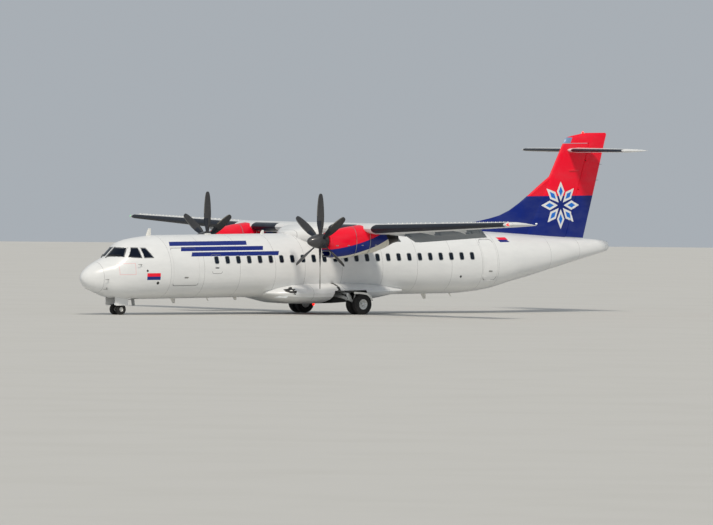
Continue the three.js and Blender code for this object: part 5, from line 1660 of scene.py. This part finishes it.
    def straps(self, shape: Shape, y: float, cowl: Surface) -> None:
        """Fills the mesh with the metal straps over the cowls' seams, thin bands that stop at the wing."""
        edges = ((-1, -0.01), (-1, 0.003), (1, 0.003), (1, -0.01))
        for station in self.seams:
            run: list[Ring] = []
            for i in range(self.strap_steps + 1):
                turn = 2 * math.pi * i / self.strap_steps
                centres = [(at(station + s * self.seam_half, y, self.cowl_z), lift) for s, lift in edges]
                ring = [self.strap_point(cowl, centre, turn, lift) for centre, lift in centres]
                if None not in ring:
                    run.append(ring)
                if (None in ring or i == self.strap_steps) and len(run) > 3:
                    loft(shape, run)
                if None in ring:
                    run = []

    def lip(self, shape: Shape, y: float) -> None:
        """Fills the mesh with the rounded lip of the intake, a bent tube round its mouth."""
        half, low, high = self.intake
        rings = []
        for turn in turns(40):
            flat = [math.copysign(abs(v) ** (2 / 3), v) for v in (math.cos(turn), math.sin(turn))]
            centre = at(self.intake_station, y + half * flat[0], (low + high) / 2 + (high - low) / 2 * flat[1])
            rings.append(circle(centre, X, Vector((0, *flat)).normalized(), self.lip_radius, 10))
        loft(shape, rings + rings[:1], capped=False)
        bmesh.ops.remove_doubles(shape, verts=shape.verts, dist=1e-5)

    def exhaust(self, shape: Shape, y: float) -> None:
        """Fills the mesh with the exhaust's nozzle and a turbine cone deep inside."""
        turned(shape, at(0, y, self.exhaust_z), AFT, self.nozzle, 40)
        turned(shape, at(0, y, self.exhaust_z), AFT, self.turbine_cone, 32)

    def latches(self, shape: Shape, y: float, cowl: Surface) -> None:
        """Fills the mesh with the flush latches along the lower edges of a nacelle's cowls."""
        for station in self.latch_stations:
            for way in (Y, -Y):
                start = at(station, y, self.latch_z) - 3 * way
                patch(
                    shape,
                    rounded(*self.latch_size),
                    0.004,
                    lambda u, v, lift: cowl.seen(start + Vector((-u, 0, v)), way, lift),
                )


@dataclass(frozen=True)
class Tyre:
    """A tyre, by the sizes of its section."""

    radius: float
    width: float
    rim: float
    grooves: Floats
    bolts: int

    def section(self) -> list[Pair]:
        """The tyre's outline from bead to bead, with its grooves, by distance across and radius."""
        half, rim, top = self.width / 2, self.rim, self.radius
        side, floor = (top + rim) / 2, top - top * 0.018
        bulge = [(-0.82, rim), (-0.93, rim + 0.25 * (side - rim)), (-1.0, side), (-0.97, side + 0.3 * (top - side))]
        bulge += [(-0.86, top * 0.965), (-0.72, top * 0.987), (-0.5, top)]
        steps = ((-0.035, top), (-0.028, floor), (0.028, floor), (0.035, top))
        crown = [(groove + step, radius) for groove in self.grooves for step, radius in steps]
        line = bulge + crown + [(-u, r) for u, r in reversed(bulge)] + [(0.7, rim - 0.004), (-0.7, rim - 0.004)]
        return [(u * half, r) for u, r in line + line[:1]]


@dataclass
class LandingGear:
    """The legs, the wheels, the doors and the covers of the landing gear."""

    main_station: float = 12.583
    main_y: float = 2.05
    main_twin: float = 0.46
    nose_station: float = 1.813
    nose_twin: float = 0.4
    hose_spread: float = 0.055
    main: Tyre = Tyre(0.432, 0.254, 0.215, (-0.3, 0.0, 0.3), 10)
    nose: Tyre = Tyre(0.225, 0.18, 0.092, (-0.25, 0.25), 6)
    cover: Points = (
        (12.08, 0.985), (12.3, 0.965), (12.583, 0.948), (12.76, 0.916), (12.88, 0.85), (12.98, 0.75), (13.05, 0.62),
    )
    cover_y: float = 2.424
    cover_middle_z: float = 0.444
    cover_bend: float = 12.3
    flange: Pair = (0.09, 0.014)
    carrier: Points = ((0.07, 0.082), (0.07, 0.1), (0.138, 0.1), (0.138, 0.082), (0.07, 0.082))
    disc: Points = ((0.122, 0.09), (0.122, 0.15), (0.134, 0.15), (0.134, 0.09), (0.122, 0.09))
    pistons: int = 7
    piston_circle: float = 0.115
    piston_ends: Pair = (0.095, 0.124)
    piston_radius: float = 0.022
    # Both ends of the shock absorber's rod: station and height, and how near the lower one is to the axle.
    shock_ends: Points = ((12.01, 0.7), (12.04, 0.89))
    shock_share: float = 0.55
    # The shock absorber's sleeve and gland rings. Columns: start and end along the rod as shares, radius.
    rod_rings: Rows = (
        (0.3, 0.52, 0.056), (0.27, 0.31, 0.066), (0.54, 0.58, 0.068), (0.62, 0.66, 0.066),
    )
    # A brake hose. Columns: station, y, height, shares of the hose's shift outward and of its drop.
    main_hose: Rows = (
        (11.95, 1.2, 0.99, 0, 0), (11.93, 1.6, 0.93, 0, 0), (11.94, 2.05, 0.8, 1, 1), (12.02, 2.05, 0.61, 1, 1),
        (12.25, 2.05, 0.51, 1, 0), (12.45, 2.05, 0.43, 1.6, 0), (12.52, 2.05, 0.43, 2, 0),
    )
    # A steering hose. Columns: station, share of its distance from the middle, height.
    nose_hose: Rows = (
        (1.93, 1.0, 1.14), (1.9, 1.3, 1.0), (1.89, 1.5, 0.85), (1.86, 1.5, 0.75), (1.85, 1.2, 0.69),
    )

    def build(self) -> None:
        """Dresses the landing gear and adds its pieces."""
        dress(Finish.GEAR_ENAMEL, "nose_leg", "nose_fork", *both("main_gear_leg"))
        dress(Finish.FAIRING_ENAMEL, *both("nose_gear_door", "wheel_cover"))
        dress(Finish.WHEEL_LACQUER, "nose_wheel_hubs", *both("main_wheel_hubs"))
        nose_hubs = self.hubs(self.nose, self.nose_station, 0, self.nose_twin)
        for side, nose_hub in zip(Side, nose_hubs):
            label, y = side.label, side.value * self.main_y
            body = f"main_wheels_{label}"
            hubs = self.hubs(self.main, self.main_station, y, side.value * self.main_twin)
            for row, hub in zip(("outer", "inner"), hubs):
                self.tyre(f"{row}_main_tyre_{label}", body, f"main_tyre_{row}_{label}", hub, self.main)
            nuts = (self.nuts, hubs, self.main, side.value)
            add_piece(f"main_wheel_nuts_{label}", body, "gear_steel", Finish.CHROMED_STEEL, *nuts)
            self.tyre(f"grooved_nose_tyre_{label}", "nose_wheels", f"nose_tyre_{label}", nose_hub, self.nose)
            for name, slot, finish, fill in (
                ("wheel_cover_flange", "white_composite", Finish.ANTENNA_ENAMEL, self.flanges),
                ("main_brakes", "gear_steel", Finish.EXHAUST_STEEL, self.brakes),
                ("main_gear_hoses", "boot_rubber", Finish.BLACK_EPOXY, self.hoses),
                ("shock_rod", "gear_steel", Finish.CHROMED_STEEL, self.shock_rod),
            ):
                add_piece(f"{name}_{label}", "airframe", slot, finish, fill, side.value)
        nose_nuts = (self.nuts, nose_hubs, self.nose, 1)
        for name, body, slot, finish, *fill in (
            ("nose_gear_lamps", "nose_fork", "cockpit_glass", Finish.LAMP_GLASS, self.taxi_lamp),
            ("nose_gear_hoses", "airframe", "boot_rubber", Finish.BLACK_EPOXY, self.nose_hoses),
            ("nose_wheel_nuts", "nose_wheels", "gear_steel", Finish.CHROMED_STEEL, *nose_nuts),
        ):
            add_piece(name, body, slot, finish, *fill)

    def hubs(self, tyre: Tyre, station: float, y: float, twin: float) -> list[Vector]:
        """The middles of a pair of wheels that stand on level ground, the one that twin points to first."""
        x = at(station, y, 0).x
        return [Vector((x, y + end * twin / 2, tyre.radius)) for end in (1, -1)]

    def tyre(self, name: str, body: str, node: str, hub: Vector, tyre: Tyre) -> None:
        """Adds a tyre with its grooves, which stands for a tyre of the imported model."""
        fill = (turned, hub, Y, tyre.section(), 96)
        add_piece(name, body, "tyre_rubber", Finish.TYRE_RUBBER, *fill, replaced=(node,))

    def nuts(self, shape: Shape, hubs: Sequence[Vector], tyre: Tyre, sign: int) -> None:
        """Fills the mesh with the nuts and the caps on the outer faces of a pair of wheels.

        Args:
            shape: the mesh that takes the faces.
            hubs: the middles of the wheels.
            tyre: the sizes of the wheels.
            sign: the side that the first wheel's face looks to, 1 for the left and -1 for the right.
        """
        half, rim = 0.4 * tyre.width, tyre.rim
        cap = [(u * half, share * rim) for u, share in ((0.9, 0.24), (1.06, 0.24), (1.12, 0.18), (1.12, 0.0))]
        for hub, way in zip(hubs, (sign * Y, -sign * Y)):
            for turn in turns(tyre.bolts):
                foot = hub + Vector((math.cos(turn), 0, math.sin(turn))) * rim * 0.62
                rod(shape, [foot + way * half * 0.5, foot + way * half * 0.84], rim * 0.055, 6)
            turned(shape, hub, way, cap, 24)

    def flanges(self, shape: Shape, sign: int) -> None:
        """Fills the mesh with the turned down rim of a wheel cover, which follows it down behind the tyre."""
        deep, thick = self.flange
        middle = at(self.main_station, 0, self.cover_middle_z)
        rings = []
        for station, z in divided(self.cover, 4, closed=False):
            edge = at(station, 0, z)
            inward = -Z if station < self.cover_bend else (middle - edge).normalized()
            corners = ((0.0, 0.002), (thick, 0.004), (thick, deep), (0.0, deep))
            rings.append([edge + inward * down + sign * (self.cover_y + out) * Y for out, down in corners])
        loft(shape, rings)

    def brakes(self, shape: Shape, sign: int) -> None:
        """Fills the mesh with a carrier, a disc and a ring of pistons on each side of a leg."""
        centre = self.hubs(self.main, self.main_station, sign * self.main_y, 0)[0]
        for way in (-Y, Y):
            for profile in (self.carrier, self.disc):
                turned(shape, centre, way, profile, 40)
            for turn in turns(self.pistons):
                foot = centre + Vector((math.cos(turn), 0, math.sin(turn))) * self.piston_circle
                rod(shape, [foot + way * end for end in self.piston_ends], self.piston_radius)

    def hoses(self, shape: Shape, sign: int) -> None:
        """Fills the mesh with two clipped hoses from the bay down a main leg to the brakes."""
        for shift, drop in ((-0.05, 0.0), (0.05, 0.03)):
            line = [at(x, sign * (y + out * shift), z - down * drop) for x, y, z, out, down in self.main_hose]
            rod(shape, eased(line), 0.011, 8)

    def shock_rod(self, shape: Shape, sign: int) -> None:
        """Fills the mesh with the bright sleeve of a shock absorber's rod and the gland rings at its ends."""
        y = sign * self.main_y
        low, high = (at(station, y, z) for station, z in self.shock_ends)
        low = low.lerp(self.hubs(self.main, self.main_station, y, 0)[0], self.shock_share)
        for start, end, radius in self.rod_rings:
            rod(shape, [low.lerp(high, start), low.lerp(high, end)], radius, 24)

    def taxi_lamp(self, shape: Shape) -> None:
        """Fills the mesh with the taxi lamp on the front of the steered knuckle."""
        foot = at(self.nose_station - 0.05, 0, 0.58)
        lens = foot + Vector((0.09, 0, 0.005))
        rod(shape, [foot, lens], [0.03, 0.045], 20)
        dome(shape, lens, X, 0.045, 0.014)

    def nose_hoses(self, shape: Shape) -> None:
        """Fills the mesh with the steering hoses along the nose leg."""
        for y in (-self.hose_spread, self.hose_spread):
            rod(shape, eased([at(station, y * spread, z) for station, spread, z in self.nose_hose]), 0.009, 8)


def main() -> None:
    """Builds the aircraft's sub-assemblies in order."""
    for assembly in (Studio(), Fuselage(), Wing(), Tail(), PowerPlants(), LandingGear()):
        log.info("building %s", type(assembly).__name__)
        assembly.build()
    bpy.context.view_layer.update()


if __name__ == "__main__":
    main()
